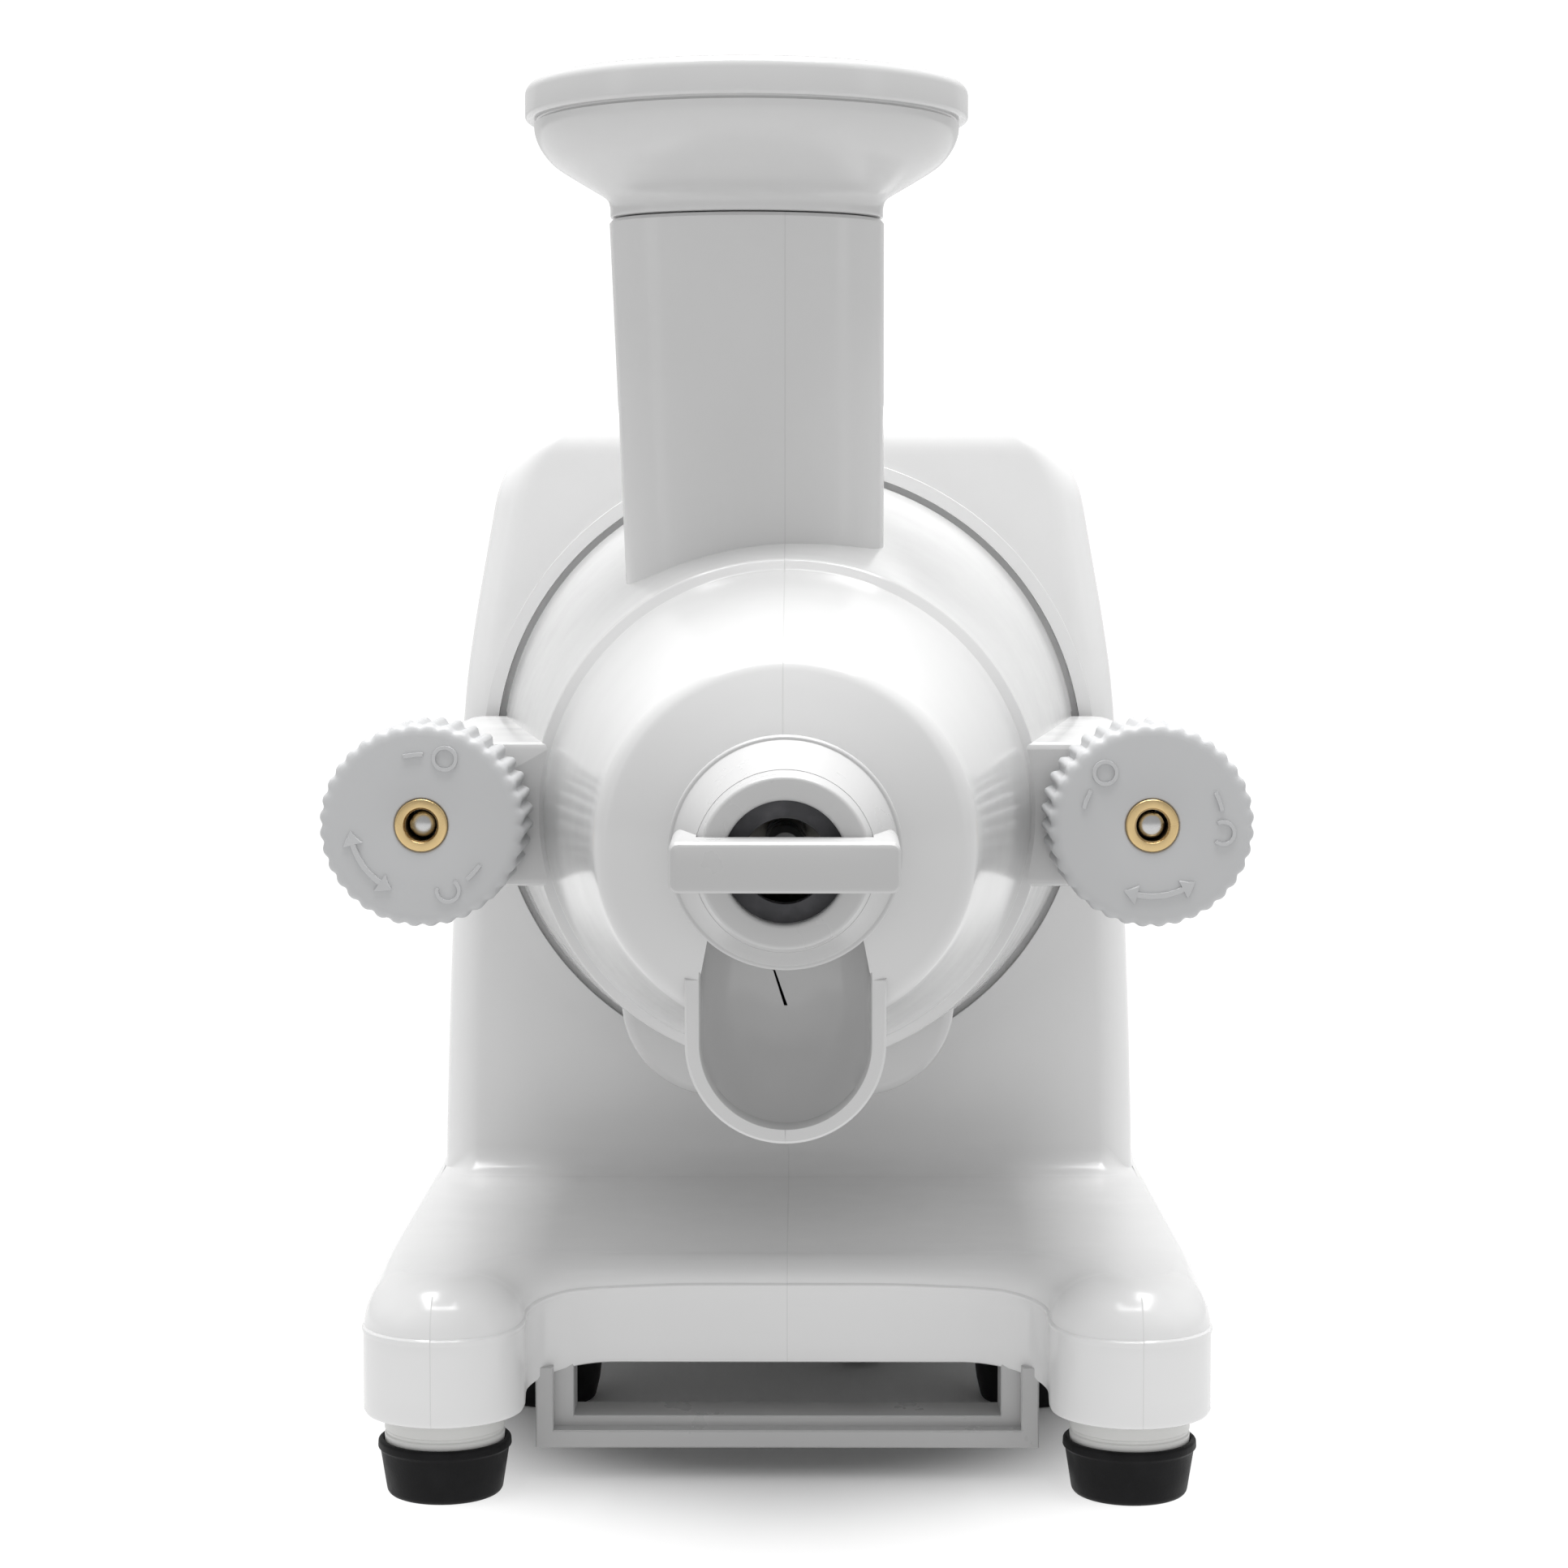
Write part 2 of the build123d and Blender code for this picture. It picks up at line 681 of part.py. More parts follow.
with BuildPart() as gearbox_cover:
    with BuildSketch(front(case_back)) as cover_outer:
        with Locations((case_x, case_z)):
            RectangleRounded(2 * case_half_width, 2 * case_half_height, 12)
    extrude(cover_outer.sketch, amount=case_wall)
    for corner_x, corner_z in case_corners:
        rod(cover_plate_front - 1, case_back + 1, 2.1, corner_x, corner_z, mode=Mode.SUBTRACT)
    rod(cover_plate_front - 1, case_back + 1, journal_radius + bush_wall, mode=Mode.SUBTRACT)
    rod(
        cover_plate_front - 1,
        case_back + 1,
        idler_shaft_radius + bush_wall,
        idler_x,
        idler_height,
        mode=Mode.SUBTRACT,
    )
    rod(cover_plate_front - 1, case_back + 1, motor_shaft_radius + 1.5, 0, motor_height, mode=Mode.SUBTRACT)
finish(gearbox_cover, "gearbox_cover")

with BuildPart() as gearbox_screws:
    for corner_x, corner_z in case_corners:
        screw(case_back, 14, 1.75, 3.6, 2.4, corner_x, corner_z, -1)
finish(gearbox_screws, "gearbox_screws")

with BuildPart() as output_bushes:
    ring(
        case_front,
        case_front + case_wall,
        output_shaft_radius + bush_wall,
        output_shaft_radius + running_gap,
    )
    ring(cover_plate_front, case_back, journal_radius + bush_wall, journal_radius + running_gap)
finish(output_bushes, "output_bushes")

with BuildPart() as idler_bushes:
    for low, high in ((case_front, case_front + 7), (cover_plate_front, case_back)):
        ring(
            low,
            high,
            idler_shaft_radius + bush_wall,
            idler_shaft_radius + running_gap,
            idler_x,
            idler_height,
        )
finish(idler_bushes, "idler_bushes")

with BuildPart() as shaft_seal:
    ring(recess_y, hollow_front, shaft_seal_radius, output_shaft_radius + fit_gap)
finish(shaft_seal, "shaft_seal")

# ---- output shaft, idler and motor rotor ---------------------------------------------------
socket_front = lip_y + 4.0
socket_depth = 36.0
shank_gap = 0.25
with BuildPart() as output_shaft:
    rod(socket_front, cover_plate_front - 1, output_shaft_radius)
    rod(cover_plate_front - 1, case_back + 2, journal_radius)
    with BuildSketch(front(socket_front)) as hex_hole:
        with Locations((0, axis_height)):
            RegularPolygon(shank_flats / 2 + shank_gap, 6, major_radius=False)
    extrude(hex_hole.sketch, amount=-socket_depth, mode=Mode.SUBTRACT)
finish(output_shaft, "output_shaft")

towards_idler = math.atan2(idler_height - axis_height, idler_x)
towards_motor = math.atan2(motor_height - idler_height, -idler_x)
with BuildPart() as output_gear:
    extrude(
        gear_outline(
            output_gear_front + gear_width, teeth_output, module_slow, 0, axis_height, towards_idler
        ),
        amount=gear_width,
    )
    rod(
        output_gear_front - 1,
        output_gear_front + gear_width + 1,
        output_shaft_radius,
        mode=Mode.SUBTRACT,
    )
    with BuildSketch(front(output_gear_front + gear_width)) as lightening:
        with Locations((0, axis_height)):
            with PolarLocations(24, 6):
                Circle(7)
    extrude(lightening.sketch, amount=gear_width, mode=Mode.SUBTRACT)
finish(output_gear, "output_gear")

with BuildPart() as idler_shaft:
    rod(case_front + 1, case_back, idler_shaft_radius, idler_x, idler_height)
finish(idler_shaft, "idler_shaft")

with BuildPart() as idler_pinion:
    extrude(
        gear_outline(
            output_gear_front + gear_width + 1,
            teeth_idler_pinion,
            module_slow,
            idler_x,
            idler_height,
            towards_idler + math.pi + math.pi / teeth_idler_pinion,
        ),
        amount=gear_width + 2,
    )
    rod(
        output_gear_front - 2,
        output_gear_front + gear_width + 2,
        idler_shaft_radius,
        idler_x,
        idler_height,
        mode=Mode.SUBTRACT,
    )
finish(idler_pinion, "idler_pinion")

with BuildPart() as idler_gear:
    extrude(
        gear_outline(
            idler_gear_front + idler_width,
            teeth_idler,
            module_fast,
            idler_x,
            idler_height,
            towards_motor,
        ),
        amount=idler_width,
    )
    rod(
        idler_gear_front - 1,
        idler_gear_front + idler_width + 1,
        idler_shaft_radius,
        idler_x,
        idler_height,
        mode=Mode.SUBTRACT,
    )
finish(idler_gear, "idler_gear")

with BuildPart() as motor_pinion:
    extrude(
        gear_outline(
            idler_gear_front + idler_width + 0.5,
            teeth_motor,
            module_fast,
            0,
            motor_height,
            towards_motor + math.pi + math.pi / teeth_motor,
        ),
        amount=idler_width + 1,
    )
    rod(
        idler_gear_front - 1,
        cover_plate_front,
        motor_shaft_radius,
        0,
        motor_height,
        mode=Mode.SUBTRACT,
    )
finish(motor_pinion, "motor_pinion")

with BuildPart() as motor_shaft:
    rod(idler_gear_front - 0.5, fan_back + 1, motor_shaft_radius, 0, motor_height)
finish(motor_shaft, "motor_shaft")

with BuildPart() as motor_rotor:
    ring(
        stator_front,
        stator_back,
        stator_bore - rotor_gap,
        motor_shaft_radius,
        0,
        motor_height,
    )
finish(motor_rotor, "motor_rotor")

with BuildPart() as cooling_fan:
    ring(fan_front, fan_back, 9, motor_shaft_radius, 0, motor_height)
    ring(fan_front, fan_front + 1.5, fan_radius, motor_shaft_radius, 0, motor_height)
    blade_length = fan_radius - 9.5
    for blade in range(fan_blades):
        with BuildSketch(front(fan_back)) as blade_outline:
            with Locations((0, motor_height)):
                with PolarLocations(8.5 + blade_length / 2, 1, start_angle=360 * blade / fan_blades):
                    Rectangle(blade_length, 1.6)
        extrude(blade_outline.sketch, amount=fan_length)
finish(cooling_fan, "cooling_fan")

# ---- motor frame -----------------------------------------------------------------------------
with BuildPart() as motor_stator:
    ring(stator_front, stator_back, stator_radius, stator_bore, 0, motor_height)
finish(motor_stator, "motor_stator")

with BuildPart() as motor_coils:
    for low, high in ((coil_front, stator_front), (stator_back, coil_back)):
        ring(low, high, stator_radius - 4, stator_bore + 2, 0, motor_height)
finish(motor_coils, "motor_coils")

bearing_radius = motor_shaft_radius + 4.0
for bell_name, plate_low, plate_high, rim_low, rim_high in (
    ("motor_bell_front", motor_front, motor_front + bell_plate, motor_front, stator_front + 4),
    ("motor_bell_rear", motor_back - bell_plate, motor_back, stator_back - 4, motor_back),
):
    with BuildPart() as motor_bell:
        ring(plate_low, plate_high, stator_radius + 3, bearing_radius, 0, motor_height)
        ring(rim_low, rim_high, stator_radius + 3, stator_radius, 0, motor_height)
    finish(motor_bell, bell_name)

with BuildPart() as motor_bearings:
    for low, high in ((motor_front, motor_front + bell_plate), (motor_back - bell_plate, motor_back)):
        ring(low, high, bearing_radius, motor_shaft_radius + running_gap, 0, motor_height)
finish(motor_bearings, "motor_bearings")

with BuildPart() as motor_mounts:
    for place in range(4):
        angle = math.radians(45 + 90 * place)
        ring(
            case_back,
            motor_front,
            5.0,
            2.0,
            (stator_radius - 4) * math.cos(angle),
            motor_height + (stator_radius - 4) * math.sin(angle),
        )
finish(motor_mounts, "motor_mounts")

# ---- control board over the motor ------------------------------------------------------------
board_y = case_back + 9.0
board_half_width = 34.0
board_low = motor_height + stator_radius + 8
board_high = board_low + 40.0
board_corners = [(x, z) for x in (-board_half_width + 5, board_half_width - 5) for z in (board_low + 5, board_high - 5)]
with BuildPart() as board_posts:
    for place_x, place_z in board_corners:
        rod(case_back, board_y, 3, place_x, place_z)
finish(board_posts, "board_posts")

with BuildPart() as control_board:
    block((-board_half_width, board_half_width), (board_y, board_y + 1.6), (board_low, board_high))
    for chip_x in (-24, -10, 24):
        block((chip_x - 4, chip_x + 4), (board_y + 1.6, board_y + 6), (board_low + 12, board_low + 22))
finish(control_board, "control_board")

capacitor_radius = 7.0
with BuildPart() as run_capacitor:
    with BuildSketch(Plane.YZ.offset(-6)) as can:
        with Locations((board_y + 1.6 + capacitor_radius, board_high - 10)):
            Circle(capacitor_radius)
    extrude(can.sketch, amount=34)
finish(run_capacitor, "run_capacitor")

# ---- drum: bell, dome, nozzle, feed tube, lugs, chute and juice spout -------------------------
flange_back_radius = recess_radius - flange_gap
bell_slope = (bell_mouth_radius - bell_front_radius) / bell_length
inner_shift = wall * math.hypot(1, bell_slope)
mouth_inner_radius = bell_mouth_radius - inner_shift - bell_slope * (lip_y - drum_back + mouth_rim_depth + 4)
with BuildPart() as drum_shell:
    turn(
        [
            (drum_back, 0),
            (drum_back, bell_mouth_radius - 1.2),
            (lip_y, bell_mouth_radius),
            (shoulder_y + 2, bell_front_radius),
            (shoulder_y, shoulder_radius),
            (cone_y, cone_front_radius),
            (cone_y - 0.35 * dome_length, cone_front_radius - 3.5),
            (cone_y - 0.7 * dome_length, cone_front_radius - 10),
            (dome_y, nozzle_radius + 3),
            (dome_y, nozzle_radius),
            (nozzle_y, nozzle_radius),
            (nozzle_y, 0),
        ]
    )
    # upper part of the flange follows the tall pocket
    with BuildSketch(front(drum_back)) as flange:
        with Locations((0, axis_height + recess_lift / 2)):
            SlotCenterToCenter(recess_lift, 2 * flange_back_radius, rotation=90)
        with Locations((0, axis_height - lug_half_height - 100)):
            Rectangle(400, 200, mode=Mode.SUBTRACT)
    extrude(flange.sketch, amount=drum_back - lip_y - 1)
    # flats that clear the tower's stud bosses
    for side_sign in (-1, 1):
        flat_edges = sorted((side_sign * (boss_inner_x - boss_gap), side_sign * 2 * recess_radius))
        block(
            tuple(flat_edges),
            (lug_back_y, drum_back + 1),
            (axis_height - lug_half_height - boss_gap, axis_height + lug_half_height + boss_gap),
            mode=Mode.SUBTRACT,
        )
    # lugs for the studs
    with BuildSketch(front(lug_back_y)) as lugs:
        with Locations((0, axis_height)):
            RectangleRounded(2 * lug_reach, 2 * lug_half_height, lug_corner)
    extrude(lugs.sketch, amount=lug_back_y - lug_front_y)
    # feed tube
    loft(
        [
            tube_outline(tube_foot_height, tube_foot_x, tube_foot_half_width, tube_half_depth),
            tube_outline(tube_top, tube_x, tube_half_width, tube_half_depth),
        ]
    )
    # juice spout
    with BuildSketch(front(spout_back_y)) as spout:
        with Locations((0, axis_height - spout_depth / 2)):
            Rectangle(2 * spout_half, spout_depth)
    extrude(spout.sketch, amount=spout_back_y - spout_front_y)
    spout_edges = drum_shell.edges().filter_by(Axis.Y).filter_by_position(
        Axis.Z, axis_height - spout_depth - 0.1, axis_height - spout_depth + 0.1
    )
    fillet(spout_edges, 14)
    # pulp chute, a sloping U
    slope = Vector(0, math.cos(math.radians(chute_slope)), math.sin(math.radians(chute_slope)))
    extrude(chute_outline(chute_front_y, chute_half, chute_depth), amount=30, dir=slope)
    # inside: juice chamber, strainer seat and nozzle bore
    turn(
        [
            (drum_back + 1, 0),
            (drum_back + 1, bell_mouth_radius - mouth_rim),
            (drum_back - mouth_rim_depth, bell_mouth_radius - mouth_rim),
            (drum_back - mouth_rim_depth - 4, mouth_inner_radius),
            (shoulder_y, bell_front_radius - inner_shift - 2.5),
            (cone_y + 3, cone_front_radius - wall),
            (cone_y + 3, strainer_radius),
            (cone_y, strainer_radius),
            (cone_y, nozzle_bore + 6),
            (cone_y - 5, nozzle_bore),
            (nozzle_y - 1, nozzle_bore),
            (nozzle_y - 1, 0),
        ],
        mode=Mode.SUBTRACT,
    )
    extrude(
        chute_outline(chute_front_y - 0.01, chute_half - chute_wall, chute_depth - chute_wall),
        amount=chute_pocket / math.cos(math.radians(chute_slope)),
        dir=slope,
        mode=Mode.SUBTRACT,
    )
    # the chute's mouth goes up through the dome to the nozzle, and a slot lets the pulp down into it
    extrude(
        chute_outline(chute_front_y, chute_half - chute_wall, chute_depth - chute_wall),
        amount=chute_front_y - dome_y + 1,
        mode=Mode.SUBTRACT,
    )
    block(
        (-6, 6),
        (dome_y + 1, dome_y + 9),
        (axis_height - nozzle_radius - 1, axis_height - nozzle_bore + 2),
        mode=Mode.SUBTRACT,
    )
    # stud holes and the juice hole
    for side_sign in (-1, 1):
        rod(lug_front_y - 1, lug_back_y + 1, stud_hole, side_sign * stud_x, mode=Mode.SUBTRACT)
    post(axis_height - spout_depth - 1, axis_height - 50, spout_hole, 0, -2, mode=Mode.SUBTRACT)
    # inner wall of the feed tube, added again across the juice chamber
    loft(
        [
            tube_outline(tube_foot_height, tube_foot_x, tube_foot_half_width, tube_half_depth),
            tube_outline(tube_top, tube_x, tube_half_width, tube_half_depth),
        ]
    )
    turn(
        [
            (cone_y + 3, 0),
            (cone_y + 3, strainer_radius + fit_gap / 2),
            (lip_y, strainer_radius + fit_gap / 2),
            (lip_y, 0),
        ],
        mode=Mode.SUBTRACT,
    )
    loft(
        [
            tube_outline(
                tube_foot_height - 20, tube_foot_x, tube_foot_half_width - wall, tube_half_depth - wall
            ),
            tube_outline(tube_top, tube_x, tube_half_width - wall, tube_half_depth - wall),
        ],
        mode=Mode.SUBTRACT,
    )
finish(drum_shell, "drum_shell")

with BuildPart() as drum_gasket:
    gasket_inner = bell_mouth_radius - mouth_rim + 0.6
    ring(drum_back, recess_y - 0.2, boss_inner_x - boss_gap - 0.4, gasket_inner)
finish(drum_gasket, "drum_gasket")

# strainer: a plastic sleeve with the feed window, ribs at the front and a steel screen inside them
with BuildPart() as strainer_frame:
    ring(mesh_back, strainer_back, strainer_radius, strainer_radius - strainer_wall)
    ring(strainer_front, strainer_front + 3, strainer_radius - 0.1, strainer_radius - strainer_wall)
    for rib in range(6):
        with BuildSketch(front(mesh_back)) as rib_outline:
            with Locations((0, axis_height)):
                with PolarLocations(strainer_radius - 0.8, 1, start_angle=30 + 60 * rib):
                    Rectangle(1.4, 4)
        extrude(rib_outline.sketch, amount=mesh_back - strainer_front)
    ring(
        strainer_front + 3,
        mesh_back,
        strainer_radius - strainer_wall + mesh_wall,
        strainer_radius - strainer_wall,
        mode=Mode.SUBTRACT,
    )
    with BuildSketch(Plane.XY.offset(axis_height)) as window:
        with Locations((tube_foot_x, tube_y)):
            Ellipse(tube_foot_half_width - wall - 1, tube_half_depth - wall)
    extrude(window.sketch, amount=strainer_radius + 2, mode=Mode.SUBTRACT)
finish(strainer_frame, "strainer_frame")

screen_outer = strainer_radius - strainer_wall + mesh_wall - 0.02
with BuildPart() as strainer_screen:
    ring(strainer_front + 3, mesh_back, screen_outer, strainer_radius - strainer_wall)
    screen_length = mesh_back - strainer_front - 3
    hole_planes = []
    for row in range(mesh_rings):
        row_y = strainer_front + 3 + screen_length * (row + 0.5) / mesh_rings
        for hole in range(mesh_holes):
            angle = 2 * math.pi * (hole + 0.5 * (row % 2)) / mesh_holes
            outwards = Vector(math.cos(angle), 0, math.sin(angle))
            centre = Vector(0, row_y, axis_height) + outwards * screen_outer
            hole_planes.append(Plane(origin=centre, z_dir=outwards))
    with Locations(*hole_planes):
        Cylinder(mesh_hole_radius, 6, mode=Mode.SUBTRACT)
finish(strainer_screen, "strainer_screen")

# ---- auger with its steel shank and tip -------------------------------------------------------
flight_turns = 3.75
flight_length = auger_pitch * flight_turns
flight_start = strainer_back - 6.0
shank_back = socket_front + socket_depth - 3.0
with BuildPart() as auger:
    turn(
        [
            (strainer_front + 4, 0),
            (strainer_front + 4, auger_core - 3),
            (strainer_front + 16, auger_core),
            (flight_start, auger_core + 3),
            (flight_start, flight_radius),
            (strainer_back, flight_radius),
            (strainer_back + 4, auger_core),
            (strainer_back + 4, 0),
        ]
    )
    with BuildLine() as flight_path:
        Helix(
            pitch=auger_pitch,
            height=flight_length,
            radius=auger_core - 2,
            center=(0, flight_start + 1, axis_height),
            direction=(0, -1, 0),
        )
    start = flight_path.line @ 0
    flight_plane = Plane(
        origin=start, x_dir=start - Vector(0, start.Y, axis_height), z_dir=flight_path.line % 0
    )
    flight_height = flight_radius - auger_core + 2
    with BuildSketch(flight_plane) as flight_outline:
        with Locations((flight_height / 2, 0)):
            Rectangle(flight_height, flight_thickness)
    sweep(flight_outline.sketch, path=flight_path.line, is_frenet=True)
    # the flight ends flush with the strainer's front
    ring(strainer_front - 40, strainer_front + 4, 40, 0.01, mode=Mode.SUBTRACT)
    # sockets of the steel shank and tip
    rod(strainer_front, strainer_front + 24, 4, mode=Mode.SUBTRACT)
    with BuildSketch(front(strainer_back - 26)) as shank_socket:
        with Locations((0, axis_height)):
            RegularPolygon(shank_flats / 2, 6, major_radius=False)
    extrude(shank_socket.sketch, amount=-40, mode=Mode.SUBTRACT)
finish(auger, "auger")

with BuildPart() as auger_shank:
    with BuildSketch(front(shank_back)) as shank:
        with Locations((0, axis_height)):
            RegularPolygon(shank_flats / 2, 6, major_radius=False)
    extrude(shank.sketch, amount=shank_back - strainer_back + 26)
finish(auger_shank, "auger_shank")

with BuildPart() as auger_tip:
    rod(dome_y + 2, strainer_front + 24, 4)
    chamfer(auger_tip.edges().group_by(Axis.Y)[0], 1.2)
finish(auger_tip, "auger_tip")

# ---- nozzle cap with its bar handle ------------------------------------------------------------
cap_back = nozzle_y + 13.0
cap_front = cap_back - cap_length
with BuildPart() as nozzle_cap:
    turn(
        [
            (cap_back, 0),
            (cap_back, cap_flange_radius),
            (cap_back - cap_flange_thickness, cap_flange_radius),
            (cap_back - cap_flange_thickness, cap_cone_radius),
            (cap_front, cap_face_radius),
            (cap_front, 0),
        ]
    )
    block(
        (-bar_half_length, bar_half_length),
        (cap_front - bar_proud, cap_front - bar_proud + bar_depth),
        (axis_height - bar_height / 2, axis_height + bar_height / 2),
    )
    bar_edges = nozzle_cap.edges().filter_by(Axis.Y).filter_by_position(
        Axis.X, -bar_half_length - 0.1, -bar_half_length + 0.1
    ) + nozzle_cap.edges().filter_by(Axis.Y).filter_by_position(
        Axis.X, bar_half_length - 0.1, bar_half_length + 0.1
    )
    fillet(bar_edges, 1.6)
    rod(cap_front, cap_back + 1, cap_hole, mode=Mode.SUBTRACT)
    rod(cap_front + cap_web, cap_back + 1, nozzle_radius + fit_gap, mode=Mode.SUBTRACT)
finish(nozzle_cap, "nozzle_cap")

with BuildPart() as cap_seal:
    ring(
        cap_front + cap_web,
        cap_front + cap_web + seal_thickness,
        nozzle_radius,
        seal_hole,
    )
finish(cap_seal, "cap_seal")

# ---- knobs -----------------------------------------------------------------------------------------
washer_front = lug_front_y - washer_thickness
knob_back = washer_front - 0.2
knob_front = knob_back - knob_length
for side_name, side_sign in (("left", -1), ("right", 1)):
    knob_x = side_sign * stud_x
    with BuildPart() as knob:
        rod(knob_front, knob_back, knob_radius - 0.2, knob_x)
        with BuildSketch(front(knob_back)) as scallops:
            with Locations((knob_x, axis_height)):
                with PolarLocations(knob_radius + 0.5, knob_teeth):
                    Circle(1.15)
        extrude(scallops.sketch, amount=knob_length, mode=Mode.SUBTRACT)
        rod(knob_front - 1, knob_front + insert_length, insert_radius, knob_x, mode=Mode.SUBTRACT)
        rod(knob_front, knob_back + 1, stud_hole + 1, knob_x, mode=Mode.SUBTRACT)
    finish(knob, f"knob_{side_name}")

    with BuildPart() as knob_insert:
        ring(knob_front, knob_front + insert_length, insert_radius, stud_hole, knob_x)
    finish(knob_insert, f"knob_insert_{side_name}")

    with BuildPart() as knob_washer:
        ring(washer_front, lug_front_y - 0.1, washer_radius, stud_hole, knob_x)
    finish(knob_washer, f"knob_washer_{side_name}")

# ---- hopper ---------------------------------------------------------------------------------------------
hopper_seat = tube_top + fit_gap
bowl_top = hopper_seat + bowl_height
rim_top = bowl_top + rim_height


def bowl_outline(z, radius):
    """Round section of the hopper bowl."""
    with BuildSketch(Plane.XY.offset(z)) as outline:
        with Locations((tube_x, tube_y)):
            Circle(radius)
    return outline.sketch


with BuildPart() as hopper:
    loft(
        [
            tube_outline(hopper_seat, tube_x, tube_half_width, tube_half_depth),
            bowl_outline(hopper_seat + 0.42 * bowl_height, bowl_radius - 8.6),
        ]
    )
    loft(
        [
            bowl_outline(hopper_seat + 0.42 * bowl_height, bowl_radius - 8.6),
            bowl_outline(hopper_seat + 0.72 * bowl_height, bowl_radius - 2.2),
        ]
    )
    loft(
        [
            bowl_outline(hopper_seat + 0.72 * bowl_height, bowl_radius - 2.2),
            bowl_outline(bowl_top, bowl_radius),
        ]
    )
    extrude(bowl_outline(bowl_top, rim_radius), amount=rim_height)
    fillet(hopper.edges().group_by(Axis.Z)[-1], 2.5)
    # spigot that drops into the feed tube
    spigot_width = tube_half_width - wall - fit_gap - 0.4
    spigot_reach = tube_half_depth - wall - fit_gap - 0.2
    extrude(tube_outline(hopper_seat - spigot_depth, tube_x, spigot_width, spigot_reach), amount=spigot_depth)
    # inside of the bowl and spigot
    loft(
        [
            tube_outline(hopper_seat, tube_x, spigot_width - 2, spigot_reach - 2),
            bowl_outline(hopper_seat + 0.45 * bowl_height, bowl_radius - 12.6),
        ],
        mode=Mode.SUBTRACT,
    )
    loft(
        [
            bowl_outline(hopper_seat + 0.45 * bowl_height, bowl_radius - 12.6),
            bowl_outline(rim_top + 0.01, rim_radius - 4),
        ],
        mode=Mode.SUBTRACT,
    )
    extrude(
        tube_outline(hopper_seat - spigot_depth - 1, tube_x, spigot_width - 2, spigot_reach - 2),
        amount=spigot_depth + 1.01,
        mode=Mode.SUBTRACT,
    )
finish(hopper, "hopper")
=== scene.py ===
import json
import math
import bpy
import bmesh
import numpy as np
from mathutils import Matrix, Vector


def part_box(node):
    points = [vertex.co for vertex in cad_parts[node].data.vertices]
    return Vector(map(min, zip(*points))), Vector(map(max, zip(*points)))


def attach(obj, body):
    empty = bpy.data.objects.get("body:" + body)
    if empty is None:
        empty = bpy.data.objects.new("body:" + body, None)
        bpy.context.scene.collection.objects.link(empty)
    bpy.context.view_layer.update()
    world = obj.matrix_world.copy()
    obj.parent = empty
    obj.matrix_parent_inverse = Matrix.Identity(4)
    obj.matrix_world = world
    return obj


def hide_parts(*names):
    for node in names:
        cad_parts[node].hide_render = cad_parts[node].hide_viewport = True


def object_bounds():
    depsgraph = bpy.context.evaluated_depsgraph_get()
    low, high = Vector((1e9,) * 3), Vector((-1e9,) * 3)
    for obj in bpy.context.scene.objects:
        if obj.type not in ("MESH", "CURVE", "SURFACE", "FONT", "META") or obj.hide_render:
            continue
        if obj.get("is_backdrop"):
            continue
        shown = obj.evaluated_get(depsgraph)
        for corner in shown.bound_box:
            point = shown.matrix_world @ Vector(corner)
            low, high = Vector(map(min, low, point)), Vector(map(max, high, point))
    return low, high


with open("model.json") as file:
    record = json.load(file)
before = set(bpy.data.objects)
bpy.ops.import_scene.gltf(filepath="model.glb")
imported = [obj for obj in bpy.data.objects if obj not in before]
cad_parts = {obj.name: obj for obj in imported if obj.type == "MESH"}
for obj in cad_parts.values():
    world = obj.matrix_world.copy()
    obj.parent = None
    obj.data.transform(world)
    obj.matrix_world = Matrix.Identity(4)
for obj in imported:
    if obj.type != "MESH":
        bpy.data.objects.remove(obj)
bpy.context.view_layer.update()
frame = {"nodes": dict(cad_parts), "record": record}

nodes = frame["nodes"]
millimetre = 0.001


def boxOf(node):
    # a CAD node's low and high corners, in millimetres
    low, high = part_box(node)
    return np.array(low) / millimetre, np.array(high) / millimetre


# ---------- places taken from the frame, in millimetres ----------
bodyLow, bodyHigh = boxOf("body_shell")
drumLow, drumHigh = boxOf("drum_shell")
coverLow, coverHigh = boxOf("rear_cover")
capLow, capHigh = boxOf("nozzle_cap")
hopperLow, hopperHigh = boxOf("hopper")
gasketLow, gasketHigh = boxOf("drum_gasket")
axisHeight = (capLow[2] + capHigh[2]) / 2  # height of the auger axis
bodyBack = bodyHigh[1]
bodyTop = bodyHigh[2]
drumBack = drumHigh[1]
nozzleFront = drumLow[1]
tubeTop = drumHigh[2]


# ---------- shape helpers ----------
def arc(centre, radius, startDegrees, endDegrees, count):
    # points at equal angles on a circle, the last one left out
    angle = np.radians(np.linspace(startDegrees, endDegrees, count, endpoint=False))
    return np.stack([centre[0] + radius * np.cos(angle), centre[1] + radius * np.sin(angle)], -1)


def line(start, end, count):
    # equally spaced points from start towards end, the last one left out
    return np.linspace(start, end, count, endpoint=False)


def smoothPath(points, perSpan=8):
    # Catmull-Rom: each span is the cubic through its two ends, with slopes taken from their neighbours
    p = np.asarray(points, float)
    p = np.vstack([2 * p[0] - p[1], p, 2 * p[-1] - p[-2]])
    t = np.linspace(0, 1, perSpan, endpoint=False)[None, :, None]
    a, b, c, d = (p[k:len(p) - 3 + k, None, :] for k in range(4))
    spans = 0.5 * (2 * b + (c - a) * t + (2 * a - 5 * b + 4 * c - d) * t**2 + (3 * b - a - 3 * c + d) * t**3)
    return np.vstack([spans.reshape(-1, p.shape[1]), p[-2]])


